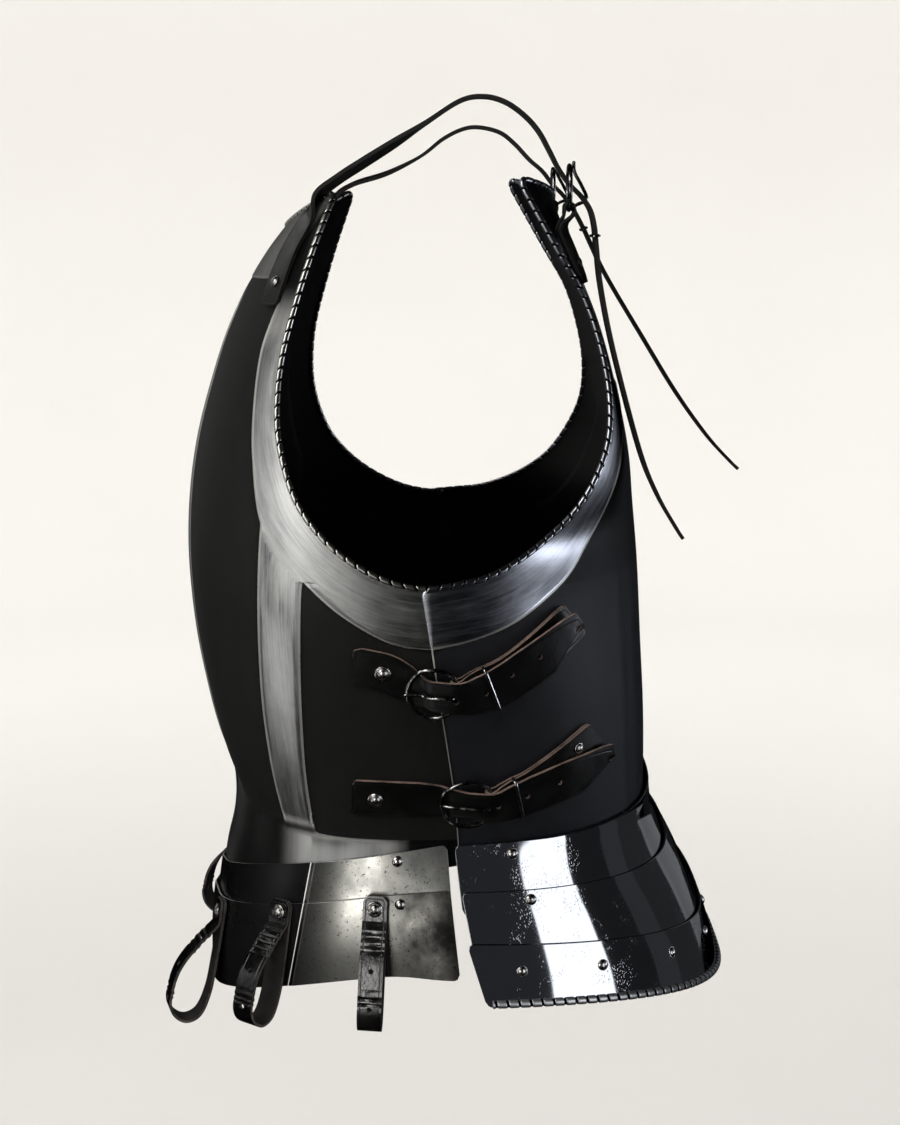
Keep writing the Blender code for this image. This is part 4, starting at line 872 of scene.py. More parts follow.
def roped_steel(name, crown, hollow, gloss):
    """Filed steel: the crowns rubbed to white metal, the notches black with old oil."""
    made, tree, shader = new_material(name)
    spot = add(tree, "ShaderNodeTexCoord").outputs["Object"]
    notch = add(tree, "ShaderNodeAttribute", {"attribute_name": "notch"}).outputs["Fac"]
    dirt = add(
        tree, "ShaderNodeTexNoise", {"Scale": 260.0, "Detail": 4.0, "Roughness": 0.7}, {"Vector": spot},
    )
    deep = add(tree, "ShaderNodeMath", {"operation": "MULTIPLY_ADD", 1: 0.5, 2: -0.22}, {0: dirt})
    deep = add(tree, "ShaderNodeMath", {"operation": "ADD", "use_clamp": True}, {0: notch, 1: deep})
    edge = add(
        tree, "ShaderNodeMapRange", {"From Min": 0.15, "From Max": 0.6, "interpolation_type": "SMOOTHSTEP"},
        {"Value": deep},
    )
    colour = add(tree, "ShaderNodeMix", {"data_type": "RGBA", 6: linear(crown), 7: linear(hollow)}, {0: edge})
    rough = add(tree, "ShaderNodeMapRange", {"To Min": gloss, "To Max": 0.6}, {"Value": edge})
    fill(tree, shader, {"Metallic": 1.0}, {"Base Color": colour, "Roughness": rough})
    return made


def edge_route(surface, lift):
    """The line along a plate's free edge: up one armhole, across the neck and down the other."""
    up = [(1.0, t) for t in np.linspace(CORNER_STEP + 0.12, 16.8, 260)]
    up += [(1.0, t) for t in np.linspace(16.82, LAST_STEP, 14)]
    over = [(x, LAST_STEP) for x in np.linspace(1, -1, 260)]
    route = up + over[1:-1] + [(-x, t) for x, t in up[::-1]]
    s, step = (np.array(c) for c in zip(*route))
    return surface(s, step, lift)


ROLLED_EDGE = rolled_edge_tree()
ROPED_BREAST = roped_steel("roped_breast_edge", "#c9c7c1", "#050505", 0.30)
ROPED_BACK = roped_steel("roped_back_edge", "#bcbec4", "#050505", 0.30)
for name, surface, finish, slot in (
    ("breastplate_rolled_edge", breast, ROPED_BREAST, "breastplate_steel"),
    ("backplate_rolled_edge", back, ROPED_BACK, "backplate_steel"),
):
    sizes = {"Finish": finish, "Notch width": 0.0012, "Notch depth": 0.0007}
    roll = grown(name, path_object(name, edge_route(surface, ROLL_OUT)), ROLLED_EDGE, sizes)
    finish_piece(roll, "root", slot)

# --------------------------------------------------------------------------------------------------------
# Fauld. Two lames of 1.5 mm steel hang below the breastplate's flange, each outside the one above. Their
# sides are ground to a grey that has dulled in patches; the front stays black behind a bevelled border.
# Layer outside the body, share of the way to the hem at the top edge (side, centre) and at the bottom edge,
# and y of the free end at top and bottom.
FAULD = {
    "fauld_upper_lame": (1, (0.005, 0.46), (0.48, 0.73), (-0.0170, -0.0140)),
    "fauld_lower_lame": (2, (0.325, 0.60), (0.97, 1.00), (-0.0150, -0.0090)),
}
LAME_CORNER = 0.0045
BORDER_FROM, BORDER_TO = (-0.1125, -0.515), (-0.1345, -0.630)
BORDER_WIDE, BORDER_DEEP = 0.0036, 0.0008


def layer(number):
    """How far outside the body a layer of plate lies."""
    return number * (PLATE + LAYER_GAP)


def lame_point(face, lame, s, t, rise=0.0):
    """A point on a lame: s from the centre line, 0, to the free end, 1; t from its top edge to its bottom."""
    number, top, bottom, ends = lame
    out = layer(number)
    high = top[1] + (top[0] - top[1]) * abs(s) ** SWEEP
    low = bottom[1] + (bottom[0] - bottom[1]) * abs(s) ** SWEEP
    share = high + (low - high) * t
    end = angle_at(skirt_section(share, face), ends[0] + (ends[1] - ends[0]) * t, face, out)
    made = skirt_point(share, abs(s) * end, face, out + rise)
    made[..., 0] *= np.where(s < 0, -1, 1)
    return made


def lame_grid(face, lame, half, rows, rise):
    """Points of a lame on columns given for half of it, with its free corners rounded."""
    middle = lame_point(face, lame, np.linspace(0, 1, 80), 0.5)
    length = np.linalg.norm(np.diff(middle, axis=0), axis=1).sum()
    ends = lame_point(face, lame, np.ones(2), np.array([0.0, 1.0]))
    tall = np.linalg.norm(ends[1] - ends[0])
    s, lift = whole_width(half, rise)
    gap = np.minimum((1 - abs(s)) * length / LAME_CORNER, 1)
    cut = (1 - np.sqrt(1 - (1 - gap) ** 2)) * LAME_CORNER / tall
    t = cut + (1 - 2 * cut) * np.linspace(0, 1, rows)[:, None]
    return s, lame_point(face, lame, s, t, lift)


def patinated_steel(name, light, dull, black, specks):
    """Ground steel dulled in patches 40 to 90 mm across, with dark specks of a millimetre where it has
    pitted, and left black outside its border. The attribute inset is millimetres inside the border."""
    made, tree, shader = new_material(name)
    spot = add(tree, "ShaderNodeTexCoord").outputs["Object"]
    inset = add(tree, "ShaderNodeAttribute", {"attribute_name": "inset"}).outputs["Fac"]
    cloud = add(
        tree, "ShaderNodeTexNoise", {"Scale": 19.0, "Detail": 5.0, "Roughness": 0.62}, {"Vector": spot},
    )
    tone = add(tree, "ShaderNodeMapRange", {"From Min": 0.38, "From Max": 0.62}, {"Value": cloud})
    fine = add(
        tree, "ShaderNodeTexNoise", {"Scale": 420.0, "Detail": 3.0, "Roughness": 0.7}, {"Vector": spot},
    )
    pit = add(tree, "ShaderNodeMapRange", {"From Min": 0.60, "From Max": 0.68}, {"Value": fine})
    steel = add(tree, "ShaderNodeMix", {"data_type": "RGBA", 6: linear(dull), 7: linear(light)}, {0: tone})
    pitted = add(tree, "ShaderNodeMix", {"data_type": "RGBA", 7: linear(specks)}, {0: pit, 6: steel})
    # Towards the rear end the colour is darkened in clouds.
    stain = add(tree, "ShaderNodeAttribute", {"attribute_name": "stain"}).outputs["Fac"]
    kept = add(tree, "ShaderNodeMapRange", {"To Min": 1.0, "To Max": 0.62}, {"Value": tone})
    darkened_rear = add(tree, "ShaderNodeMath", {"operation": "MULTIPLY"}, {0: stain, 1: kept})
    pitted = add(tree, "ShaderNodeMix", {"data_type": "RGBA", 7: linear("#1f1e1c")}, {0: darkened_rear, 6: pitted})
    shine = add(
        tree, "ShaderNodeMapRange", {"From Min": -0.2, "From Max": 0.3, "interpolation_type": "SMOOTHSTEP"},
        {"Value": inset},
    )
    # The two corners of the bevelled border carry painted highlights: bright lines painted into the colour.
    wide = BORDER_WIDE * 1000
    painted_highlight_lines = []
    for at in (0.0, wide):
        gap = add(tree, "ShaderNodeMath", {"operation": "SUBTRACT", 1: at}, {0: inset})
        gap = add(tree, "ShaderNodeMath", {"operation": "ABSOLUTE"}, {0: gap})
        painted_highlight_lines.append(add(tree, "ShaderNodeMapRange", {"From Min": 0.75, "From Max": 0.35}, {"Value": gap}))
    line = add(tree, "ShaderNodeMath", {"operation": "MAXIMUM"}, {0: painted_highlight_lines[0], 1: painted_highlight_lines[1]})
    # Painted shade: the slope of the bevel is darkened to about a third of its colour.
    bevel = add(
        tree, "ShaderNodeMapRange",
        {"From Min": wide + 0.2, "From Max": wide - 0.2, "To Min": 1.0, "To Max": 0.32}, {"Value": inset},
    )
    shaded = add(
        tree, "ShaderNodeMix", {"data_type": "RGBA", "blend_type": "MULTIPLY", 0: 1.0}, {6: pitted, 7: bevel},
    )
    both = add(tree, "ShaderNodeMix", {"data_type": "RGBA", 6: linear(black)}, {0: shine, 7: shaded})
    with_painted_highlight_lines = add(tree, "ShaderNodeMix", {"data_type": "RGBA", 7: linear("#e4e3de")}, {0: line, 6: both})
    rough = add(tree, "ShaderNodeMapRange", {"To Min": 0.36, "To Max": 0.26}, {"Value": tone})
    bump = add(tree, "ShaderNodeBump", {"Strength": 0.06, "Distance": 0.0015}, {"Height": cloud})
    rough_bump = add(
        tree, "ShaderNodeBump", {"Strength": 0.12, "Distance": 0.0002, "invert": True},
        {"Height": pit, "Normal": bump},
    )
    fill(
        tree, shader, {"Specular IOR Level": 0.3},
        {"Base Color": with_painted_highlight_lines, "Metallic": shine, "Roughness": rough, "Normal": rough_bump},
    )
    return made


def skirt_frame(y, share, face, out):
    """A point on a lame's outer face at y, the direction down it and its outward direction."""
    angle = float(angle_at(skirt_section(share, face), y, face, out))
    d = 0.02
    point, lower, upper, further, nearer = (
        Vector(skirt_point(a, b, face, out))
        for a, b in (
            (share, angle), (share + d, angle), (share - d, angle), (share, angle + d), (share, angle - d)
        )
    )
    outward = (lower - upper).cross(further - nearer).normalized()
    if outward.x < 0:
        outward = -outward
    return point, (lower - upper).normalized(), outward


FAULD_STEEL = patinated_steel("fauld_patinated_steel", "#b2b1ab", "#7c7e7b", "#0d0d0e", "#3a3633")
# How far the rear end of each lame is darkened.
REAR_DARKENING = {"fauld_upper_lame": 0.25, "fauld_lower_lame": 1.0}
for name, lame in FAULD.items():
    rows = 26
    t = np.linspace(0, 1, rows)
    s = np.linspace(0, 1, 500)
    edges = []
    for row in t:
        p = lame_point("front", lame, s, row)
        border = np.interp(-p[:, 2], [-BORDER_FROM[1], -BORDER_TO[1]], [BORDER_FROM[0], BORDER_TO[0]])
        edges.append(np.interp(0.0, p[:, 1] - border, s))
    edges = np.array(edges)
    length = np.linalg.norm(np.diff(lame_point("front", lame, s, 0.5), axis=0), axis=1).sum()
    wide, near = BORDER_WIDE / length, 0.0003 / length
    knots = np.stack(
        [
            0 * t, edges - near, edges + near, edges + wide - near, edges + wide + near, 0 * t + 0.955,
            0 * t + 1,
        ],
        1,
    )
    low = -BORDER_DEEP
    level = np.broadcast_to(np.array([low, low, low * 0.97, low * 0.03, 0, 0, 0]), knots.shape)
    counts = (34, 1, 3, 1, 22, 8)
    s, points = lame_grid("front", lame, columns_of(knots, counts), rows, columns_of(level, counts))
    inset = (abs(s) - edges[:, None]) * length * 1000
    stain = REAR_DARKENING[name] * step_between(points[..., 1], -0.066, -0.038)
    sheet = sheet_mesh(name + "_raised", points, {"inset": inset, "stain": stain})
    plate_piece(sheet, FAULD_STEEL, name.replace("_lame", ""), "fauld_steel", name)

# --------------------------------------------------------------------------------------------------------
# Culet. Three lames behind, blackened over a mirror polish, so they show the lights as sharp white shapes
# broken by fine pits. The lowest has a rolled, notched hem and is riveted along its top to the one above.
CULET = {
    "culet_upper_lame": (2, (0.005, -0.03), (0.44, 0.45), (-0.0120, -0.0060)),
    "culet_middle_lame": (3, (0.29, 0.30), (0.86, 0.89), (-0.0070, 0.0060)),
    "culet_lower_lame": (4, (0.60, 0.68), (1.00, 1.00), (-0.0030, 0.0110)),
}
CULET_BODY = {
    "culet_upper_lame": "culet_upper",
    "culet_middle_lame": "culet_middle",
    "culet_lower_lame": "culet_middle",
}
HEM_ROLL = 0.0030
# The top edge of the upper lame stands off the backplate, so that it clears the waist when it slides up.
CULET_LIFT = {"culet_upper_lame": 0.0014}


def mirror_black_steel(name, black, blue):
    """Polished steel under a thin black oxide: sharp reflections, a wavy surface from hand planishing every
    25 mm or so, and clusters of pits under a millimetre that scatter the light."""
    made, tree, shader = new_material(name)
    spot = add(tree, "ShaderNodeTexCoord").outputs["Object"]
    cloud = add(tree, "ShaderNodeTexNoise", {"Scale": 16.0, "Detail": 3.0}, {"Vector": spot})
    colour = add(tree, "ShaderNodeMix", {"data_type": "RGBA", 6: linear(black), 7: linear(blue)}, {0: cloud})
    waves = add(tree, "ShaderNodeTexNoise", {"Scale": 26.0, "Detail": 0.0}, {"Vector": spot})
    where = add(
        tree, "ShaderNodeTexNoise", {"Scale": 38.0, "Detail": 3.0, "Roughness": 0.7}, {"Vector": spot},
    )
    cluster = add(tree, "ShaderNodeMapRange", {"From Min": 0.50, "From Max": 0.64}, {"Value": where})
    cell = add(tree, "ShaderNodeTexNoise", {"Scale": 820.0, "Detail": 0.0}, {"Vector": spot})
    speck = add(tree, "ShaderNodeMapRange", {"From Min": 0.64, "From Max": 0.72}, {"Value": cell})
    pits = add(tree, "ShaderNodeMath", {"operation": "MULTIPLY"}, {0: speck, 1: cluster})
    rough = add(tree, "ShaderNodeMapRange", {"To Min": 0.06, "To Max": 0.26}, {"Value": pits})
    planished = add(tree, "ShaderNodeBump", {"Strength": 0.05, "Distance": 0.002}, {"Height": waves})
    pitted = add(
        tree, "ShaderNodeBump", {"Strength": 0.24, "Distance": 0.00018, "invert": True},
        {"Height": pits, "Normal": planished},
    )
    fill(tree, shader, {"Metallic": 1.0}, {"Base Color": colour, "Roughness": rough, "Normal": pitted})
    return made


CULET_STEEL = mirror_black_steel("culet_mirror_steel", "#a9aaad", "#b9bbc2")
for name, lame in CULET.items():
    rows = 26
    columns = np.concatenate([np.linspace(0, 0.96, 70)[:-1], np.linspace(0.96, 1, 9)])
    half = np.broadcast_to(columns, (rows, len(columns)))
    lift = CULET_LIFT.get(name, 0.0) * (1 - step_between(np.linspace(0, 1, rows), 0, 0.35))[:, None]
    s, points = lame_grid("back", lame, half, rows, lift * (1 - step_between(half, 0.70, 0.82)))
    plate_piece(sheet_mesh(name + "_raised", points, {}), CULET_STEEL, CULET_BODY[name], "culet_steel", name)
lame = CULET["culet_lower_lame"]
s = np.linspace(-0.985, 0.985, 700)
hem = lame_point("back", lame, s, np.ones(700), -0.0006)
hem[:, 2] += HEM_ROLL * 0.72
ROPED_HEM = roped_steel("roped_culet_hem", "#d2d3d6", "#050505", 0.46)
sizes = {
    "Finish": ROPED_HEM, "Radius": HEM_ROLL, "Pitch": 0.0082, "Notch width": 0.0016, "Notch depth": 0.0007,
    "Lean": 0.0006,
}
roll = grown("culet_rolled_hem", path_object("culet_hem", hem), ROLLED_EDGE, sizes)
finish_piece(roll, "culet_middle", "culet_steel")

# --------------------------------------------------------------------------------------------------------
# Rivets. Round-headed steel rivets, set hot and dressed smooth, hold every lame and strap. The lames turn on
# one at each side; those on the side billets and on the loops have a thin washer under the head.
RIVET_HEAD, RIVET_RISE, RIVET_SHANK = 0.0040, 0.0020, 0.0016
WASHER_RADIUS, WASHER_THICK = 0.0055, 0.0008
TOUCH, LEAF_CLEAR = 0.0003, 0.0004
BILLET_THICK, BUCKLE_STRAP_THICK, SHOULDER_THICK, LOOP_THICK = 0.0024, 0.0018, 0.0026, 0.0020
# Lame pivots: body, face, layer, y, share of the way to the hem.
PIVOTS = (
    ("fauld_upper", "front", 1, -0.0520, 0.130), ("fauld_lower", "front", 2, -0.0500, 0.430),
    ("culet_upper", "back", 2, 0.0290, 0.070), ("culet_middle", "back", 3, 0.0420, 0.350),
)
CULET_ROW_ANGLES, CULET_ROW_SHARE = (0, 19, 37, 54, 70), 0.775
# Side straps: upper and lower, y and height of the rivet in front and behind.
SIDE_RIVETS = {
    "upper": ((-0.0600, -0.3733), (0.0590, -0.3520)), "lower": ((-0.0665, -0.4694), (0.0725, -0.4385)),
}
SHOULDER_RIVETS = ((0.1142, -0.1180), (0.0980, -0.1060))
# Belt loops: y, share of the way to the hem, bulge, drop.
TASSET_LOOPS = {
    "side": (-0.0670, 0.455, 0.0130, 0.083), "corner": (-0.1340, 0.490, 0.0310, 0.078),
    "front": (-0.1840, 0.590, 0.0310, 0.085),
}
SEAM_RAMP = 0.007


def skin_out(y, z):
    """How far the outer skin stands off the breastplate's face: the backplate laps over it."""
    seam = smooth([(row[2], row[1]) for row in BACK_EDGE[: CORNER_STEP + 1]], 1, z)
    return BACKPLATE_OUT * np.clip((y - seam + SEAM_RAMP) / SEAM_RAMP, 0.0, 1.0)


def side_x(y, z):
    """Half width of the body's outer skin where a line along X at (y, z) meets it."""
    out = skin_out(y, z)
    made = []
    for face in ("front", "back"):
        half_width, depth, squareness, _ = section(np.maximum(z, WAIST_Z), face)
        away = np.minimum(abs(y - MID_Y) / (depth + out), 0.999)
        made.append((half_width + out) * (1 - away**squareness) ** (1 / squareness))
    return np.where(y < MID_Y, made[0], made[1])


def side_frames(y, z):
    """Points on the side of the body at (y, z) and their outward directions."""
    y, z = np.broadcast_arrays(np.asarray(y, float), np.asarray(z, float))
    d = 0.004
    slope_y = (side_x(y + d, z) - side_x(y - d, z)) / (2 * d)
    slope_z = (side_x(y, z + d) - side_x(y, z - d)) / (2 * d)
    outward = np.stack([np.ones_like(y), -slope_y, -slope_z], -1)
    outward /= np.linalg.norm(outward, axis=-1, keepdims=True)
    return np.stack([side_x(y, z), y, z], -1), outward


def face_y(x, height, face):
    """Where the breastplate's or backplate's face lies at x and a height."""
    half_width, depth, squareness, ridge = section(height, face)
    out = BACKPLATE_OUT if face == "back" else 0.0
    deep = (depth + out) * (1 - (abs(x) / (half_width + out)) ** squareness) ** (1 / squareness)
    return MID_Y - deep - ridge_at(ridge, x) if face == "front" else MID_Y + deep


def face_frame(x, height, face):
    """A point on the breastplate's or backplate's face, the direction across it and its outward direction."""
    d = 0.003
    across = Vector((2 * d, face_y(x + d, height, face) - face_y(x - d, height, face), 0)).normalized()
    up = Vector((0, face_y(x, height + d, face) - face_y(x, height - d, face), 2 * d)).normalized()
    outward = across.cross(up) if face == "front" else up.cross(across)
    return Vector((x, face_y(x, height, face), height)), across, outward.normalized()


def flip(vector, side):
    """The vector on the wearer's left, 1, or mirrored to the right, -1."""
    return Vector((vector[0] * side, vector[1], vector[2]))


def rivet_pattern(name, washer):
    """One rivet about its own Z: domed head with a small filed flat, washer if it has one, and shank."""
    curve = (RIVET_HEAD**2 + RIVET_RISE**2) / (2 * RIVET_RISE)
    reach = math.asin(RIVET_HEAD / curve)
    seat = WASHER_THICK if washer else 0.0
    profile = [(0.0, RIVET_RISE + seat - 0.00006)]
    for a in np.linspace(0.16, 0.97, 9):
        profile.append((curve * math.sin(reach * a), curve * math.cos(reach * a) - curve + RIVET_RISE + seat))
    profile += [(RIVET_HEAD, seat + 0.0002), (RIVET_HEAD - 0.0001, seat)]
    if washer:
        profile += [
            (WASHER_RADIUS - 0.0002, seat), (WASHER_RADIUS, seat - 0.0002), (WASHER_RADIUS, 0.0002),
            (WASHER_RADIUS - 0.0002, 0.0),
        ]
    profile += [(RIVET_SHANK, 0.0), (RIVET_SHANK, -0.0016), (0.0, -0.0016)]
    built = bmesh.new()
    line = [built.verts.new((r, 0.0, h)) for r, h in profile]
    edges = [built.edges.new(pair) for pair in zip(line, line[1:])]
    bmesh.ops.spin(
        built, geom=[*line, *edges], axis=(0, 0, 1), cent=(0, 0, 0), steps=28, angle=2 * math.pi,
        use_duplicate=False,
    )
    bmesh.ops.remove_doubles(built, verts=built.verts, dist=0.00001)
    bmesh.ops.recalc_face_normals(built, faces=built.faces)
    mesh = bpy.data.meshes.new(name)
    built.to_mesh(mesh)
    built.free()
    mesh.shade_smooth()
    obj = placed(name, mesh)
    obj.hide_render = True
    return obj


def rivet_tree():
    """A rivet on each point, its head along the point's outward direction and its size changed a little at
    random.
    """
    tree, given = new_group(
        "set_rivets", {"Rivet": ("Object", None), "Size spread": ("Float", 0.03), "Seed": ("Int", 7)}
    )
    outward = add(tree, "GeometryNodeInputNamedAttribute", {"data_type": "FLOAT_VECTOR", "Name": "outward"})
    facing = add(tree, "FunctionNodeAlignRotationToVector", {"axis": "Z"}, {"Vector": outward})
    less = add(tree, "ShaderNodeMath", {"operation": "SUBTRACT", 0: 1.0}, {1: given["Size spread"]})
    more = add(tree, "ShaderNodeMath", {"operation": "ADD", 0: 1.0}, {1: given["Size spread"]})
    size = add(
        tree, "FunctionNodeRandomValue", {"data_type": "FLOAT"}, {2: less, 3: more, "Seed": given["Seed"]},
    )
    one = add(tree, "GeometryNodeObjectInfo", {}, {"Object": given["Rivet"]})
    set_out = add(
        tree, "GeometryNodeInstanceOnPoints", {},
        {"Points": given["Geometry"], "Instance": one.outputs["Geometry"], "Rotation": facing, "Scale": size},
    )
    return close_group(tree, given, set_out)


# Each rivet: body, whether it has a washer, the CAD piece it stands for, place and outward direction.
rivets = []
for side in (1, -1):
    hand = "left" if side > 0 else "right"
    for body, face, number, y, share in PIVOTS:
        point, _, outward = skirt_frame(y, share, face, layer(number))
        place = point + outward * TOUCH
        rivets.append((body, False, f"{body}_pivot_{hand}", flip(place, side), flip(outward, side)))
    for level, (ahead, behind) in SIDE_RIVETS.items():
        for (y, z), thick, washer, name in (
            (ahead, BILLET_THICK + LEAF_CLEAR + TOUCH * 2, True, "billet_rivet"),
            (behind, 2 * BUCKLE_STRAP_THICK + LEAF_CLEAR + TOUCH * 4, False, "buckle_strap_rivet"),
        ):
            point, outward = (Vector(v) for v in side_frames(y, z))
            place = point + outward * thick
            rivets.append(("root", washer, f"{name}_{level}_{hand}", flip(place, side), flip(outward, side)))
    for (x, z), face, thick, name in (
        (SHOULDER_RIVETS[0], "front", SHOULDER_THICK + LEAF_CLEAR + 2 * TOUCH, "front"),
        (SHOULDER_RIVETS[1], "back", 2 * BUCKLE_STRAP_THICK + LEAF_CLEAR + 4 * TOUCH, "back"),
    ):
        point, _, outward = face_frame(x, z, face)
        place = point + outward * thick
        rivets.append(
            ("root", False, f"shoulder_rivet_{name}_{hand}", flip(place, side), flip(outward, side))
        )
    for name, (y, share, _, _) in TASSET_LOOPS.items():
        point, _, outward = skirt_frame(y, share, "front", layer(2))
        place = point + outward * (2 * LOOP_THICK + LEAF_CLEAR + TOUCH * 4)
        node = f"tasset_rivet_{name}_{hand}"
        rivets.append(("fauld_lower", True, node, flip(place, side), flip(outward, side)))
    for degrees in CULET_ROW_ANGLES if side > 0 else CULET_ROW_ANGLES[1:]:
        angle, d = math.radians(degrees), 0.01
        centre, lower, along = (
            Vector(skirt_point(a, b, "back", layer(4)))
            for a, b in (
                (CULET_ROW_SHARE, angle), (CULET_ROW_SHARE + d, angle), (CULET_ROW_SHARE, angle + d)
            )
        )
        outward = (lower - centre).cross(along - centre).normalized()
        outward = outward if outward.y > 0 else -outward
        rivets.append(("culet_middle", False, None, flip(centre, side), flip(outward, side)))
SET_RIVETS = rivet_tree()
# Bright mild steel, rubbed with emery: soft broken reflections and a little brown in the low places.
RIVET_STEEL = worn_surface(
    "dressed_rivet_steel", (480.0, 4.0, 0.65), "#5d5651", "#c9c8c6", (0.35, 0.65), (0.34, 0.16),
    bump=(0.12, 0.0002),
)
patterns = {washer: rivet_pattern("rivet_pattern", washer) for washer in (False, True)}
for body in ("root", "fauld_upper", "fauld_lower", "culet_upper", "culet_middle"):
    for washer in (False, True):
        chosen = [r for r in rivets if r[0] == body and r[1] == washer]
        if not chosen:
            continue
        points = bpy.data.meshes.new("rivet_places")
        points.from_pydata([r[3] for r in chosen], [], [])
        data = points.attributes.new("outward", "FLOAT_VECTOR", "POINT").data
        data.foreach_set("vector", [c for r in chosen for c in r[4]])
        name = f"{body}_{'washered_' if washer else ''}rivets"
        given = {"Rivet": patterns[washer], "Finish": RIVET_STEEL}
        made = grown(name, placed(name + "_places", points), SET_RIVETS, given)
        finish_piece(made, body, "rivet_steel", *[r[2] for r in chosen if r[2]])
for pattern in patterns.values():
    bpy.data.objects.remove(pattern)

# --------------------------------------------------------------------------------------------------------
# Side straps. On each side two straps of 2.4 mm blackened harness leather are riveted to the breastplate,
# run through a wire buckle and back under a wire keeper. The buckle hangs in a folded strap on the backplate.
# Stations along each strap: y, z, height over the plate, half width. Holes and keepers: y, z, slope.
SIDE_STRAPS = {
    "upper": {
        "billet": (
            (-0.0800, -0.3695, 0.0016, 0.0105), (-0.0760, -0.3700, 0.0016, 0.0140),
            (-0.0590, -0.3735, 0.0016, 0.0140), (-0.0480, -0.3790, 0.0017, 0.0130),
            (-0.0400, -0.3840, 0.0022, 0.0110), (-0.0260, -0.3865, 0.0070, 0.0100),
            (-0.0100, -0.3875, 0.0113, 0.0110), (0.0030, -0.3865, 0.0092, 0.0130),
            (0.0180, -0.3820, 0.0070, 0.0140), (0.0350, -0.3720, 0.0072, 0.0140),
            (0.0530, -0.3610, 0.0092, 0.0140), (0.0630, -0.3545, 0.0112, 0.0136),
            (0.0690, -0.3510, 0.0122, 0.0120),
        ),
        "folded": ((-0.0090, -0.3868), (0.0280, -0.3745), (0.0680, -0.3470)), "ring": (-0.0262, -0.3865),
        "holes": ((-0.0123, -0.3896), (0.0070, -0.3858), (0.0237, -0.3752), (0.0416, -0.3655)),
        "keeper": (0.0112, -0.3842, 0.34),
    },
    "lower": {
        "billet": (
            (-0.0830, -0.4690, 0.0016, 0.0105), (-0.0790, -0.4692, 0.0016, 0.0140),
            (-0.0600, -0.4695, 0.0016, 0.0140), (-0.0360, -0.4700, 0.0016, 0.0135),
            (-0.0170, -0.4705, 0.0022, 0.0110), (-0.0020, -0.4708, 0.0070, 0.0100),
            (0.0140, -0.4708, 0.0112, 0.0110), (0.0270, -0.4690, 0.0092, 0.0130),
            (0.0430, -0.4650, 0.0072, 0.0140), (0.0620, -0.4595, 0.0070, 0.0140),
            (0.0800, -0.4562, 0.0074, 0.0140), (0.0905, -0.4542, 0.0084, 0.0136),
            (0.0960, -0.4530, 0.0090, 0.0122),
        ),
        "folded": ((0.0150, -0.4705), (0.0460, -0.4605), (0.0870, -0.4350)), "ring": (-0.0022, -0.4708),
        "holes": ((0.0160, -0.4694), (0.0360, -0.4655), (0.0582, -0.4595)), "keeper": (0.0305, -0.4682, 0.20),
    },
}
SIDE_STRAP_WIDTH, SIDE_RING_RADIUS, RING_WIRE = 0.028, 0.0175, 0.0030
FOLD_CLEAR, FOLD_NARROWING, RING_STAND = 0.0009, 0.66, 0.0022
TONGUE_RADIUS, KEEPER_RADIUS, THIN_KEEPER_RADIUS = RING_WIRE * 0.42, 0.0012, 0.0009
HOLE_RADIUS, SHOULDER_HOLE_RADIUS, LOOP_HOLE_RADIUS = 0.0017, 0.0016, 0.0018
SIDE_TONGUE = ((0.98, 0.0), (0.74, 0.0040), (0.62, 0.0088), (0.10, 0.0070), (-0.60, 0.0034), (-1.12, 0.0031))
ACROSS = np.linspace(-1, 1, 11)
TIP_CUT = 0.024
STRAP_STEPS = 8


def stations_of(rows, steps, straight=3):
    """Stations on a smooth curve through the rows, with the width kept straight from row to row."""
    made = curve_through(rows, steps)
    rows = np.array(rows)
    at = np.arange(len(made)) / steps
    made[:, straight] = np.interp(at, np.arange(len(rows)), rows[:, straight])
    return made


def ring_sag(v, radius):
    """How far a ring has curved back from its foremost point at a distance v to one side."""
    return radius - np.sqrt(np.maximum(radius**2 - v**2, 0.0))


def raised(y, z, height):
    """Points at a height over the body's side."""
    point, outward = side_frames(y, z)
    return point + outward * np.asarray(height)[..., None]


def side_rows(stations):
    """Rows across a strap on the body's side. Stations: y, z, height, half width, slope, share of the sag,
    share of the width below its middle."""
    y, z, height, half, slope, sag, low = (stations[:, k, None] for k in range(7))
    v = half * np.where(ACROSS < 0, ACROSS * low - (1 - low) * 0.25 * ACROSS, ACROSS)
    back = sag * ring_sag(v, SIDE_RING_RADIUS)
    return raised(
        y - np.sin(slope) * v - np.cos(slope) * back, z + np.cos(slope) * v - np.sin(slope) * back,
        height + 0 * v,
    )


def with_slope(stations):
    """Stations with their slope, no sag, and the long slanting cut under the tip."""
    step = np.gradient(stations[:, :2], axis=0)
    y = stations[:, 0]
    low = np.clip((y[-1] - y) / TIP_CUT, 0, 1)
    return np.column_stack([stations[:, :4], np.arctan2(step[:, 1], step[:, 0]), 0 * y, low])


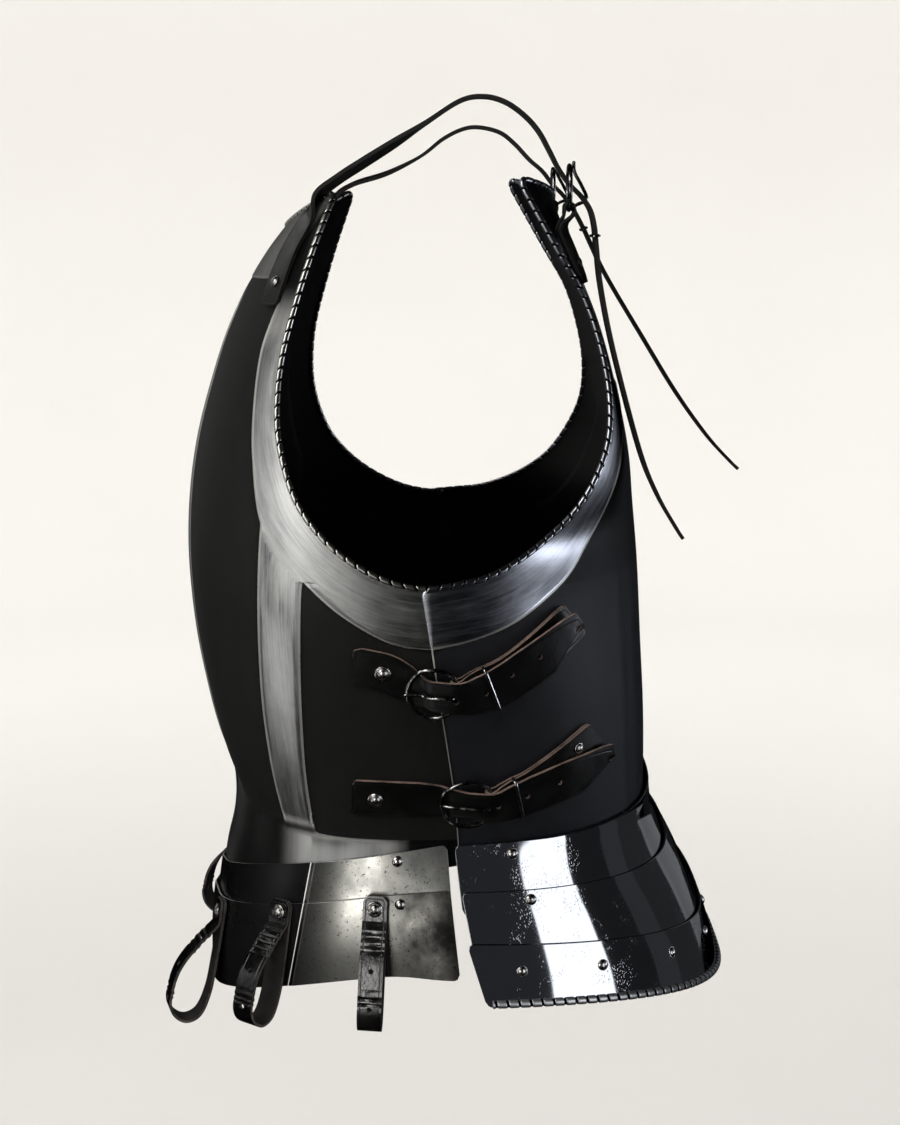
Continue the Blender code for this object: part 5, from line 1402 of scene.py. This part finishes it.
def folded_stations(route, half):
    """Stations of a strap folded round the buckle's bar, and how high the bar stands."""
    (bar_y, bar_z), middle, (end_y, end_z) = route
    leaf = BUCKLE_STRAP_THICK
    low = TOUCH + leaf / 2 + LEAF_CLEAR
    turn = RING_WIRE / 2 + leaf / 2 + FOLD_CLEAR
    narrow = half * FOLD_NARROWING
    first = math.atan2(middle[1] - bar_z, middle[0] - bar_y)
    tip = math.atan2(end_z - middle[1], end_y - middle[0])

    def from_bar(along, width, slope, sag, lift):
        """A station at a distance from the bar."""
        return (bar_y + along, bar_z + along * math.tan(first), lift, width, slope, sag)

    line = stations_of(
        (
            (end_y, end_z, 0.0, half * 0.80, tip, 0.0),
            (end_y - 0.003, end_z - 0.003 * math.tan(tip), 0.0, half, tip, 0.0),
            (middle[0], middle[1], 0.0, half, (first + tip) / 2, 0.0),
            from_bar(0.016, half * 0.85, first, 0.3, 0.0008),
            from_bar(0.005, narrow, first * 0.3, 1.0, 0.0027),
        ),
        STRAP_STEPS,
    )[STRAP_STEPS // 2 :]
    line[:, 5] = np.maximum(line[:, 5], 0)
    under, over = line.copy(), line[::-1].copy()
    under[:, 2] = low
    over[:, 2] += low + leaf + LEAF_CLEAR
    a = np.radians(np.linspace(-90, -270, 15))
    flat = np.ones(15)
    fold = np.column_stack([
        bar_y + turn * np.cos(a), bar_z * flat, low + turn + turn * np.sin(a), narrow * flat, 0 * flat, flat
    ])
    made = np.concatenate([under, fold, over])
    return np.column_stack([made, np.ones(len(made))]), low + turn


def strap_leather(name, grain, worn, gloss, sheen):
    """Vegetable-tanned harness leather dyed black and glazed: pores half a millimetre across, long creases
    where it bends, a groove pressed 2 mm inside each edge, and wear on the raised grain. The attributes are
    edge, in millimetres from the nearer one, and crease, how deep it is creased as a share."""
    made, tree, shader = new_material(name)
    spot = add(tree, "ShaderNodeTexCoord").outputs["Object"]
    edge = add(tree, "ShaderNodeAttribute", {"attribute_name": "edge"}).outputs["Fac"]
    crease = add(tree, "ShaderNodeAttribute", {"attribute_name": "crease"}).outputs["Fac"]
    pores = add(tree, "ShaderNodeTexVoronoi", {"Scale": 1500.0, "Randomness": 1.0}, {"Vector": spot})
    folds = add(
        tree, "ShaderNodeTexNoise", {"Scale": 160.0, "Detail": 5.0, "Roughness": 0.6}, {"Vector": spot},
    )
    cloud = add(
        tree, "ShaderNodeTexNoise", {"Scale": 55.0, "Detail": 4.0, "Roughness": 0.6}, {"Vector": spot},
    )
    wear = add(
        tree, "ShaderNodeMapRange", {"From Min": 0.50, "From Max": 0.74, "To Max": 0.6}, {"Value": cloud},
    )
    rubbed = add(tree, "ShaderNodeMath", {"operation": "MULTIPLY_ADD", 1: 0.8}, {0: crease, 2: wear})
    colour = add(tree, "ShaderNodeMix", {"data_type": "RGBA", 6: linear(grain), 7: linear(worn)}, {0: rubbed})
    rough = add(
        tree, "ShaderNodeMapRange",
        {"From Min": 0.35, "From Max": 0.7, "To Min": gloss, "To Max": gloss + 0.20}, {"Value": cloud},
    )
    groove = add(tree, "ShaderNodeMath", {"operation": "SUBTRACT", 1: 2.0}, {0: edge})
    groove = add(tree, "ShaderNodeMath", {"operation": "ABSOLUTE"}, {0: groove})
    pressed = add(
        tree, "ShaderNodeMapRange", {"From Min": 0.45, "From Max": 0.0, "interpolation_type": "SMOOTHSTEP"},
        {"Value": groove},
    )
    line = add(
        tree, "ShaderNodeBump", {"Strength": 0.5, "Distance": 0.0003, "invert": True}, {"Height": pressed},
    )
    bent = add(
        tree, "ShaderNodeBump", {"Strength": 0.22, "Distance": 0.0009}, {"Height": folds, "Normal": line},
    )
    fine = add(
        tree, "ShaderNodeBump", {"Strength": 0.16, "Distance": 0.0001}, {"Height": pores, "Normal": bent},
    )
    fill(
        tree, shader, {"Specular IOR Level": sheen},
        {"Base Color": colour, "Roughness": rough, "Normal": fine},
    )
    return made


def raw_leather(name, light, dark):
    """The cut edge or the flesh side: undyed fibres, rough, stained where the dye has crept in."""
    made, tree, shader = new_material(name)
    spot = add(tree, "ShaderNodeTexCoord").outputs["Object"]
    fibres = add(
        tree, "ShaderNodeTexNoise", {"Scale": 900.0, "Detail": 4.0, "Roughness": 0.7}, {"Vector": spot},
    )
    stain = add(tree, "ShaderNodeTexNoise", {"Scale": 90.0, "Detail": 3.0}, {"Vector": spot})
    crept = add(tree, "ShaderNodeMath", {"operation": "MULTIPLY", 1: 0.55}, {0: stain})
    tone = add(tree, "ShaderNodeMath", {"operation": "MULTIPLY_ADD", 1: 0.5}, {0: fibres, 2: crept})
    spread = add(tree, "ShaderNodeMapRange", {"From Min": 0.38, "From Max": 0.64}, {"Value": tone})
    colour = add(tree, "ShaderNodeMix", {"data_type": "RGBA", 6: linear(dark), 7: linear(light)}, {0: spread})
    bump = add(tree, "ShaderNodeBump", {"Strength": 0.3, "Distance": 0.0003}, {"Height": fibres})
    fill(tree, shader, {"Roughness": 0.78}, {"Base Color": colour, "Normal": bump})
    return made


def hole_cutters(name, places, radius, reach=0.006):
    """Round punches at the places, each a point and a direction, as one object."""
    built = bmesh.new()
    for point, outward in places:
        turn = Vector(outward).to_track_quat("Z", "Y").to_matrix().to_4x4()
        turn.translation = Vector(point)
        bmesh.ops.create_cone(
            built, cap_ends=True, segments=20, radius1=radius, radius2=radius, depth=reach, matrix=turn
        )
    mesh = bpy.data.meshes.new(name)
    built.to_mesh(mesh)
    built.free()
    return placed(name, mesh)


def strap_piece(name, rows, thickness, side, grain, edge_finish, body, node, punch=None, crease=None):
    """A strap from rows of points on the middle of its thickness. The grain side is the one the last row
    turns outward; the edges and the other side are bare leather. Holes are punched before it is softened."""
    rows = rows * np.array([side, 1, 1])
    if side > 0:
        rows = rows[:, ::-1]
    count, wide = rows.shape[:2]
    middle = rows[:, wide // 2]
    along = run_along(middle) * 1000
    whole = np.linalg.norm(rows[:, -1] - rows[:, 0], axis=1) * 1000
    k = np.abs(np.linspace(-1, 1, wide))
    ends = np.minimum(along, along[-1] - along)[:, None]
    edge = np.minimum(whole[:, None] / 2 * (1 - k), ends)
    numbers = {"edge": edge, "crease": 0 * edge}
    if crease is not None:
        numbers["crease"] = crease(along)[:, None] + 0 * edge
    materials = (grain, FLESH_SIDE, edge_finish)
    flat = placed(name + "_flat", grid_mesh(name + "_flat", rows, grid_quads(count, wide), numbers))
    thicken(flat, thickness, 0, materials)
    if punch:
        for material in materials:
            punch.data.materials.append(material)
        for face in punch.data.polygons:
            face.material_index = 2
        cut = flat.modifiers.new("holes", "BOOLEAN")
        cut.operation, cut.object = "DIFFERENCE", punch
    obj = settled(name, flat)
    if punch:
        bpy.data.objects.remove(punch)
    obj.data.shade_smooth()
    finish_piece(obj, body, "strap_leather", node, soft_from=50)


def squared_ring(count, *shape):
    """Two coordinates round a loop with squared corners. Shape, for each: power and half size."""
    a = np.linspace(0, 2 * math.pi, count, endpoint=False)
    return [np.sign(f) * abs(f) ** power * half for f, (power, half) in zip((np.cos(a), np.sin(a)), shape)]


def wire(name, points, radius, closed, body, material, *nodes):
    """Round wire along the points, its open ends rounded off."""
    drawn = path_object(name, points)
    drawn.data.bevel_depth, drawn.data.bevel_resolution = radius, 5
    drawn.data.use_fill_caps = True
    line = drawn.data.splines[0]
    if not closed:
        for k, thin in ((0, 0.45), (1, 0.85), (-2, 0.85), (-1, 0.45)):
            line.points[k].radius = thin
    line.use_cyclic_u = closed
    obj = settled(name, drawn)
    obj.data.materials.clear()
    obj.data.materials.append(material)
    obj.data.shade_smooth()
    finish_piece(obj, body, "buckle_steel", *nodes)


STRAP_LEATHER = strap_leather("black_harness_leather", "#060606", "#121110", 0.28, 0.30)
FLESH_SIDE = raw_leather("leather_flesh_side", "#1d1917", "#0b0a09")
CUT_LEATHER = raw_leather("leather_cut_edge", "#7d695e", "#2e2420")
DYED_EDGE = raw_leather("leather_dyed_edge", "#151312", "#090808")
LOOP_EDGE = raw_leather("leather_worn_edge", "#3a3633", "#110f0e")
# Drawn steel wire blackened in oil, rubbed through to bright metal where leather and thumbs touch it.
BUCKLE_WIRE, KEEPER_WIRE = (
    worn_surface(name, (130.0, 5.0, 0.65), low, high, spread, (0.32, 0.20), bump=(0.10, 0.0002))
    for name, low, high, spread in (
        ("blackened_buckle_wire", "#2a2a2b", "#c6c6c5", (0.44, 0.60)),
        ("bright_keeper_wire", "#4c4c4d", "#c4c4c3", (0.38, 0.54)),
    )
)
for side in (1, -1):
    hand = "left" if side > 0 else "right"
    mirror = np.array([side, 1, 1])
    for level, kit in SIDE_STRAPS.items():
        tag = f"{level}_{hand}"
        line = with_slope(stations_of(kit["billet"], STRAP_STEPS))
        folded, bar_height = folded_stations(kit["folded"], SIDE_STRAP_WIDTH / 2)
        ring_y, ring_z = kit["ring"]
        pin = side_frames(ring_y + SIDE_RING_RADIUS * 0.68, ring_z)
        punches = [(flip(pin[0] + pin[1] * (bar_height + 0.0045), side), flip(pin[1], side))]
        for y, z in kit["holes"]:
            point, outward = side_frames(y, z)
            height = np.interp(y, line[:, 0], line[:, 2])
            punches.append((flip(point + outward * height, side), flip(outward, side)))
        strap_piece(
            f"side_billet_{tag}_leather", side_rows(line), BILLET_THICK, side, STRAP_LEATHER, CUT_LEATHER,
            "root", f"side_billet_{tag}", hole_cutters("punches", punches, HOLE_RADIUS),
        )
        point, outward = side_frames(ring_y + SIDE_RING_RADIUS * 0.80, ring_z)
        slot = [(flip(point + outward * (bar_height + 0.0042), side), flip(outward, side))]
        strap_piece(
            f"side_buckle_strap_{tag}_leather", side_rows(folded), BUCKLE_STRAP_THICK, side, STRAP_LEATHER,
            CUT_LEATHER, "root", f"side_buckle_strap_{tag}", hole_cutters("slot", slot, 0.0024, 0.011),
        )
        near = BILLET_THICK + RING_WIRE / 2 + RING_STAND
        a = np.linspace(0, 2 * math.pi, 72, endpoint=False)
        lift = near + (bar_height - near) * (np.cos(a) + 1) / 2
        ring = raised(ring_y + SIDE_RING_RADIUS * np.cos(a), ring_z + SIDE_RING_RADIUS * np.sin(a), lift)
        wire(
            f"side_buckle_{tag}_ring", ring * mirror, RING_WIRE / 2, True, "root", BUCKLE_WIRE,
            f"side_buckle_{tag}",
        )
        pin = curve_through(SIDE_TONGUE, 8)
        pin = raised(ring_y + SIDE_RING_RADIUS * pin[:, 0], ring_z + 0 * pin[:, 0], bar_height + pin[:, 1])
        wire(f"side_buckle_{tag}_tongue", pin * mirror, TONGUE_RADIUS, False, "root", BUCKLE_WIRE)
        # The keeper goes round the billet and down between the two leaves of the folded strap.
        y, z, slope = kit["keeper"]
        top = np.interp(y, line[:, 0], line[:, 2]) + BILLET_THICK / 2 + 0.0008
        low = TOUCH + BUCKLE_STRAP_THICK + LEAF_CLEAR * 2
        half_high, half_wide = (top - low) / 2, SIDE_STRAP_WIDTH / 2 + 0.0015
        u, h = squared_ring(60, (0.22, half_wide), (0.40, half_high))
        loop = raised(y - math.sin(slope) * u, z + math.cos(slope) * u, h + (top + low) / 2)
        wire(f"side_keeper_{tag}", loop * mirror, KEEPER_RADIUS, True, "root", KEEPER_WIRE)

# --------------------------------------------------------------------------------------------------------
# Shoulder straps. Riveted to the breastplate at each side of the neck, they arch over the shoulder to a wire
# buckle on the backplate and hang down as long free tails; the two sides hang in unlike curves.
# On the chest: height, x, half width. Free of the chest: x, y, z, half width.
SHOULDER_ON_CHEST = (
    (-0.1340, 0.1175, 0.0045), (-0.1300, 0.1168, 0.0110), (-0.1150, 0.1135, 0.0110),
    (-0.0960, 0.1078, 0.0110), (-0.0770, 0.1005, 0.0110),
)
SHOULDER_FREE = {
    "left": (
        (0.0970, -0.1075, -0.0605, 0.0110), (0.0960, -0.0925, -0.0485, 0.0110),
        (0.0965, -0.0745, -0.0372, 0.0110), (0.0980, -0.0520, -0.0235, 0.0110),
        (0.1000, -0.0320, -0.0110, 0.0110), (0.1010, -0.0080, 0.0038, 0.0110),
        (0.1010, 0.0085, 0.0065, 0.0110), (0.1005, 0.0230, 0.0027, 0.0110), (0.1000, 0.0360, -0.0062, 0.0110),
        (0.0990, 0.0455, -0.0165, 0.0110), (0.0985, 0.0525, -0.0285, 0.0105),
        (0.0980, 0.0590, -0.0405, 0.0090), (0.0980, 0.0665, -0.0510, 0.0085),
        (0.0980, 0.0755, -0.0600, 0.0095), (0.0980, 0.0815, -0.0690, 0.0110),
        (0.0980, 0.0845, -0.0800, 0.0110), (0.0985, 0.0860, -0.0930, 0.0110),
        (0.0990, 0.0895, -0.1210, 0.0110), (0.1000, 0.0990, -0.1650, 0.0110),
        (0.1010, 0.1185, -0.2340, 0.0110), (0.1020, 0.1315, -0.2660, 0.0110),
        (0.1025, 0.1460, -0.2910, 0.0110), (0.1025, 0.1510, -0.2985, 0.0060),
    ),
    "right": (
        (0.0970, -0.1075, -0.0612, 0.0110), (0.0960, -0.0920, -0.0510, 0.0110),
        (0.0960, -0.0650, -0.0425, 0.0110), (0.0980, -0.0385, -0.0295, 0.0110),
        (0.0990, -0.0205, -0.0160, 0.0110), (0.1000, -0.0050, -0.0085, 0.0110),
        (0.1000, 0.0080, -0.0070, 0.0110), (0.1000, 0.0245, -0.0110, 0.0110),
        (0.0995, 0.0365, -0.0200, 0.0110), (0.0985, 0.0480, -0.0320, 0.0105),
        (0.0980, 0.0585, -0.0410, 0.0090), (0.0980, 0.0665, -0.0510, 0.0085),
        (0.0980, 0.0755, -0.0600, 0.0095), (0.0980, 0.0830, -0.0700, 0.0110),
        (0.0980, 0.0920, -0.0860, 0.0110), (0.0985, 0.1095, -0.1210, 0.0110),
        (0.0990, 0.1415, -0.1730, 0.0110), (0.0990, 0.1700, -0.2180, 0.0110),
        (0.0990, 0.1960, -0.2530, 0.0110), (0.0990, 0.2160, -0.2745, 0.0110),
        (0.0990, 0.2220, -0.2800, 0.0060),
    ),
}
SHOULDER_BUCKLE = (0.0980, 0.0670, -0.0540)
SHOULDER_STRAP_END, SHOULDER_WIDTH, SHOULDER_RING_RADIUS = -0.1200, 0.022, 0.0150
SHOULDER_TONGUE = (
    (-0.98, 0.0), (-0.78, 0.0050), (-0.50, 0.0120), (0.10, 0.0085), (0.70, 0.0036), (1.20, 0.0030)
)
SHOULDER_KEEPER = {"left": (0.0852, -0.0860, 0.12), "right": (0.0925, -0.0868, 0.50)}
# How far each strap leans over where it leaves the chest.
SHOULDER_LEAN = {"left": 0.24, "right": 0.10}


def shoulder_strap_rows(free, lean):
    """Rows of a shoulder strap from its end on the chest, over the shoulder, down to its tail's end."""
    stations = []
    for height, x, half in SHOULDER_ON_CHEST:
        point, across, outward = face_frame(x, height, "front")
        place = point + outward * (SHOULDER_THICK / 2 + LEAF_CLEAR)
        stations.append((*place, *across, half))
    for x, y, z, half in free:
        stations.append((x, y, z, 1.0, 0.0, lean * float(step_between(-y, 0.025, 0.065)), half))
    line = stations_of(stations, 12, 6)
    across = line[:, 3:6] / np.linalg.norm(line[:, 3:6], axis=1)[:, None]
    return line[:, None, :3] + across[:, None] * line[:, None, 6:] * ACROSS[None, :, None]


def shoulder_folded_rows():
    """Rows of the short strap behind the shoulder: up the backplate, over the bar and down again."""
    x, bar_y, ring_z = SHOULDER_BUCKLE
    bar_z = ring_z - SHOULDER_RING_RADIUS
    low = TOUCH + BUCKLE_STRAP_THICK / 2 + LEAF_CLEAR
    turn = RING_WIRE / 2 + BUCKLE_STRAP_THICK / 2 + FOLD_CLEAR
    half = SHOULDER_WIDTH / 2
    narrow = half * FOLD_NARROWING
    end = SHOULDER_STRAP_END

    def leaf(height, width, sag, lift):
        """A row on the backplate."""
        row = []
        for k in ACROSS:
            point, _, outward = face_frame(x + width * k, height, "back")
            rise = sag * float(ring_sag(width * k, SHOULDER_RING_RADIUS))
            row.append(point + outward * lift + Vector((0, 0, rise)))
        return row

    def over_bar(y, z):
        """A row round the bar."""
        rise = ring_sag(narrow * ACROSS, SHOULDER_RING_RADIUS)
        return [(x + narrow * k, y, z + r) for k, r in zip(ACROSS, rise)]

    plain = (
        (end, half * 0.30, 0.0), (end + 0.008, half, 0.0), (-0.0960, half, 0.0), (-0.0830, half * 0.85, 0.3),
    )
    rows = [leaf(*row, low) for row in plain]
    rows.append(over_bar(bar_y - turn, bar_z - 0.004))
    for a in np.linspace(math.pi, 0, 12):
        rows.append(over_bar(bar_y + turn * math.cos(a), bar_z + turn * math.sin(a)))
    rows.append(over_bar(bar_y + turn, bar_z - 0.004))
    rows += [leaf(*row, low + BUCKLE_STRAP_THICK + TOUCH * 2) for row in reversed(plain)]
    rows = np.array([[tuple(p) for p in row] for row in rows])
    return np.stack([stations_of(rows[:, k], 3, 0) for k in range(len(ACROSS))], 1)


for side in (1, -1):
    hand = "left" if side > 0 else "right"
    mirror = np.array([side, 1, 1])
    x, y, z = SHOULDER_BUCKLE
    radius = SHOULDER_RING_RADIUS
    rows = shoulder_strap_rows(SHOULDER_FREE[hand], SHOULDER_LEAN[hand])
    middle = rows[:, len(ACROSS) // 2]
    down = np.gradient(middle, axis=0)
    down /= np.linalg.norm(down, axis=1)[:, None]
    along = run_along(middle)
    past_pin = np.argmin(np.linalg.norm(middle - np.array([x, y + 0.006, z - radius * 0.3]), axis=1))
    punches = []
    for step in range(0, 6):
        k = np.argmin(abs(along - along[past_pin] - step * 0.020 - 0.002))
        outward = np.cross(rows[k, -1] - rows[k, 0], down[k])
        punches.append((flip(middle[k], side), flip(outward / np.linalg.norm(outward), side)))
    strap_piece(
        f"shoulder_strap_{hand}_leather", rows[:, ::-1], SHOULDER_THICK, side, STRAP_LEATHER, DYED_EDGE,
        "root", f"shoulder_strap_{hand}", hole_cutters("punches", punches, SHOULDER_HOLE_RADIUS),
    )
    strap_piece(
        f"shoulder_buckle_strap_{hand}_leather", shoulder_folded_rows(), BUCKLE_STRAP_THICK, side,
        STRAP_LEATHER, DYED_EDGE, "root", f"shoulder_buckle_strap_{hand}",
        hole_cutters("slot", [(flip((x, y + 0.006, z - radius * 0.9), side), (0, 1, 0))], 0.0022, 0.012),
    )
    a = np.linspace(0, 2 * math.pi, 64, endpoint=False)
    ring = np.column_stack([x + radius * np.sin(a), y + 0 * a, z - radius * np.cos(a)])
    wire(
        f"shoulder_buckle_{hand}_ring", ring * mirror, RING_WIRE / 2, True, "root", BUCKLE_WIRE,
        f"shoulder_buckle_{hand}",
    )
    pin = curve_through(SHOULDER_TONGUE, 8)
    pin = np.column_stack([x + 0 * pin[:, 0], y + pin[:, 1], z + radius * pin[:, 0]])
    wire(f"shoulder_buckle_{hand}_tongue", pin * mirror, TONGUE_RADIUS, False, "root", BUCKLE_WIRE)
    keep_y, keep_z, lean = SHOULDER_KEEPER[hand]
    k = np.argmin(abs(middle[:, 1] - keep_y) + abs(middle[:, 2] - keep_z))
    outward = np.cross(down[k], [1, 0, 0])
    outward *= np.sign(outward[1]) / np.linalg.norm(outward)
    u, h = squared_ring(48, (0.25, SHOULDER_WIDTH / 2 + 0.0014), (0.5, 0.0024))
    loop = middle[k] + np.outer(u, [1, 0, 0]) + np.outer(h, outward)
    wire(f"shoulder_keeper_{hand}", loop * mirror, THIN_KEEPER_RADIUS, True, "root", KEEPER_WIRE)

# --------------------------------------------------------------------------------------------------------
# Tasset loops. Six loops of 2 mm leather hang from washered rivets on the lower lame, ready for the straps
# of thigh plates. They have been worn long enough to crease across under the rivet and at the fold.
LOOP_WIDTH = 0.017
# Outline of a loop in its side view, inner end to outer end: share of the bulge, share of the drop.
LOOP_SHAPE = (
    (0.00, -0.11), (0.00, 0.15), (0.02, 0.45), (0.06, 0.72), (0.22, 0.93), (0.55, 1.00), (0.88, 0.93),
    (1.00, 0.78), (0.86, 0.52), (0.44, 0.28), (0.07, 0.13), (0.00, 0.07), (0.00, -0.11),
)
LOOP_CLIP = 0.0035
# Holes in the outer leaf: share of the drop.
LOOP_HOLES = (0.50, 0.82)
# Creases in the outer leaf: share of the drop, depth, half length in shares.
LOOP_CREASES = (
    (0.20, 0.00075, 0.012), (0.245, 0.0010, 0.014), (0.30, 0.0009, 0.013), (0.345, 0.0006, 0.011),
    (0.68, 0.0006, 0.010), (0.735, 0.0009, 0.013), (0.78, 0.0006, 0.010),
)
FULL_CREASE = 0.0010
LOOP_STEPS = 16
LOOP_GLAZE = strap_leather("glazed_loop_leather", "#060606", "#141211", 0.10, 0.95)


def loop_rows(y, share, bulge, drop):
    """Rows of a loop, with its clipped ends and creases, and how creased each row is."""
    point, down, outward = skirt_frame(y, share, "front", layer(2))
    across = down.cross(outward).normalized()
    low = TOUCH + LOOP_THICK / 2 + LEAF_CLEAR
    apart = LOOP_THICK + TOUCH * 2
    route = []
    for i, (b, s) in enumerate(LOOP_SHAPE):
        outer = 0.0 if i < len(LOOP_SHAPE) / 2 - 1 else 1.0
        route.append((low + b * bulge + outer * apart * (1 - b), s * drop))
    line = curve_through(route, LOOP_STEPS)
    outer = np.arange(len(line)) > len(line) // 2
    at = line[:, 1] / drop
    deep = np.zeros(len(line))
    for where, depth, reach in LOOP_CREASES:
        deep += outer * depth * np.exp(-(((at - where) / reach) ** 2))
    way = np.gradient(line, axis=0)
    way /= np.linalg.norm(way, axis=1)[:, None]
    sway = 1 + 0.35 * np.sin(3.4 * ACROSS + 31 * at[:, None])
    n = line[:, :1] + way[:, 1:] * deep[:, None] * sway
    s = line[:, 1:] - way[:, :1] * deep[:, None] * sway
    run = run_along(line)
    gap = np.minimum(run, run[-1] - run)
    half = LOOP_WIDTH / 2 - np.maximum(LOOP_CLIP - gap, 0) * 0.9
    wide = half[:, None] * ACROSS
    rows = (
        np.array(point) + n[..., None] * np.array(outward) + s[..., None] * np.array(down)
        + wide[..., None] * np.array(across)
    )
    return rows, run * 1000, deep / FULL_CREASE, line, (point, down, outward)


for side in (1, -1):
    hand = "left" if side > 0 else "right"
    for name, (y, share, bulge, drop) in TASSET_LOOPS.items():
        rows, run, deep, line, (point, down, outward) = loop_rows(y, share, bulge, drop)
        tag = f"tasset_loop_{name}_{hand}"
        outer = np.arange(len(line)) > len(line) // 2
        punches = []
        for where in LOOP_HOLES:
            k = np.argmin(np.where(outer, abs(line[:, 1] / drop - where), 9))
            n, s = line[k]
            way = line[k + 1] - line[k - 1]
            facing = outward * -way[1] + down * way[0]
            punches.append((flip(point + outward * n + down * s, side), flip(facing.normalized(), side)))
        strap_piece(
            tag + "_leather", rows, LOOP_THICK, side, LOOP_GLAZE,
            LOOP_EDGE, "fauld_lower", tag, hole_cutters("punches", punches, LOOP_HOLE_RADIUS),
            lambda along, run=run, deep=deep: np.interp(along, run, deep),
        )

# --------------------------------------------------------------------------------------------------------
# Floor and light. A pale seamless floor as far below as it is when the cuirass is worn, and soft boxes at
# the front and back quarters on both sides, which are what the polished steel shows.
FLOOR_Z = -1.45
profile = [(0.0002, 0.0), (1.5, 0.0), (3.0, 0.0), (4.4, 0.0)]
profile += [(4.4 + 1.8 * math.sin(a), 1.8 - 1.8 * math.cos(a)) for a in np.linspace(0.1, math.pi / 2, 12)]
profile += [(6.2, 6.0)]
ring = np.linspace(0, 2 * math.pi, 97)
bowl = np.array([[(r * math.cos(a), r * math.sin(a), FLOOR_Z + h) for a in ring] for r, h in profile])
floor = placed("floor", grid_mesh("floor", bowl, grid_quads(*bowl.shape[:2]), {}))
paper, tree, shader = new_material("pale_floor")
spot = add(tree, "ShaderNodeTexCoord").outputs["Object"]
cloud = add(tree, "ShaderNodeTexNoise", {"Scale": 0.9, "Detail": 4.0}, {"Vector": spot})
tone = add(
    tree, "ShaderNodeMix", {"data_type": "RGBA", 6: linear("#eeece9"), 7: linear("#f4f3f0")}, {0: cloud},
)
# Painted shade: the paper's colour is greyer under the cuirass, where the lamps pool.
away = add(tree, "ShaderNodeVectorMath", {"operation": "LENGTH"}, {0: spot})
far = add(
    tree, "ShaderNodeMapRange", {"From Min": 1.6, "From Max": 4.2, "interpolation_type": "SMOOTHSTEP"},
    {"Value": away},
)
shade = add(tree, "ShaderNodeMix", {"data_type": "RGBA", 6: linear("#cbc9c6")}, {0: far, 7: tone})
fill(tree, shader, {"Roughness": 0.9}, {"Base Color": shade})
floor.data.materials.append(paper)
floor.visible_glossy = False

world = bpy.data.worlds.new("studio")
bpy.context.scene.world = world
world.use_nodes = True
background = world.node_tree.nodes["Background"]
background.inputs["Color"].default_value = linear("#f7f6f5")
background.inputs["Strength"].default_value = 1.50
world.cycles_visibility.glossy = False

# Name, direction round from +X towards +Y and up in degrees, width, tallness, power in watts on the left and
# on the right, colour, and what its flags let it reach.
SOFT_BOXES = (
    ("high_front", -50, 35, 0.9, 0.9, 10.0, 2.0, (1.0, 0.99, 0.97), "all"),
    ("flare", -25, -9, 0.45, 1.2, 1.5, 0.4, (1.0, 0.99, 0.97), "plates"),
    ("chest", -60, 17, 0.5, 0.5, 1.1, 0.2, (1.0, 0.99, 0.97), "plates"),
    ("front", -46, 5, 0.70, 0.7, 2.5, 0.6, (1.0, 0.99, 0.97), "plates"),
    ("front_edge", -82, 4, 0.5, 0.9, 1.0, 0.2, (0.98, 0.99, 1.0), "all"),
    ("low_front", -64, -25, 0.5, 0.6, 1.5, 0.3, (1.0, 0.99, 0.97), "plates"),
    ("fauld", -22, 1, 0.45, 0.8, 6.4, 1.5, (1.0, 0.98, 0.95), "skirts"),
    ("culet", 41, -2, 0.80, 1.2, 7.5, 0.5, (0.94, 0.97, 1.0), "skirts"),
    ("culet_fill", 16, -5, 1.5, 1.2, 0.22, 0.05, (0.85, 0.90, 1.0), "skirts"),
    ("culet_side", 106, -4, 1.6, 1.2, 0.20, 0.12, (0.94, 0.96, 1.0), "skirts"),
    ("back", 80, -8, 0.55, 0.5, 4.6, 1.2, (0.86, 0.90, 1.0), "plates"),
    ("back_edge", 106, 2, 0.6, 0.9, 1.5, 0.4, (0.88, 0.92, 1.0), "plates"),
)
WAIST, LAMP_DISTANCE = Vector((0, 0, -0.34)), 1.75
reached = {"skirts": bpy.data.collections.new("skirts"), "plates": bpy.data.collections.new("plates")}
for obj in bpy.context.scene.objects:
    if obj.type == "MESH":
        on_skirts = obj.name.startswith(("fauld", "culet", "tasset"))
        for key in ("skirts", "plates"):
            if "rivets" in obj.name or on_skirts == (key == "skirts"):
                reached[key].objects.link(obj)
for name, around, up, wide, tall, left_power, right_power, colour, reach in SOFT_BOXES:
    for side, power in ((1, left_power), (-1, right_power)):
        lamp = bpy.data.lights.new(name, "AREA")
        lamp.shape = "RECTANGLE"
        lamp.size, lamp.size_y = wide, tall
        lamp.energy = power
        lamp.color = colour
        box = placed(f"{name}_{'left' if side > 0 else 'right'}", lamp)
        a, e = math.radians(around), math.radians(up)
        away = Vector((side * math.cos(a) * math.cos(e), math.sin(a) * math.cos(e), math.sin(e)))
        box.location = WAIST + away * LAMP_DISTANCE
        box.rotation_mode = "QUATERNION"
        box.rotation_quaternion = away.to_track_quat("Z", "Y")
        box.visible_camera = False
        if reach in reached:
            box.light_linking.receiver_collection = reached[reach]
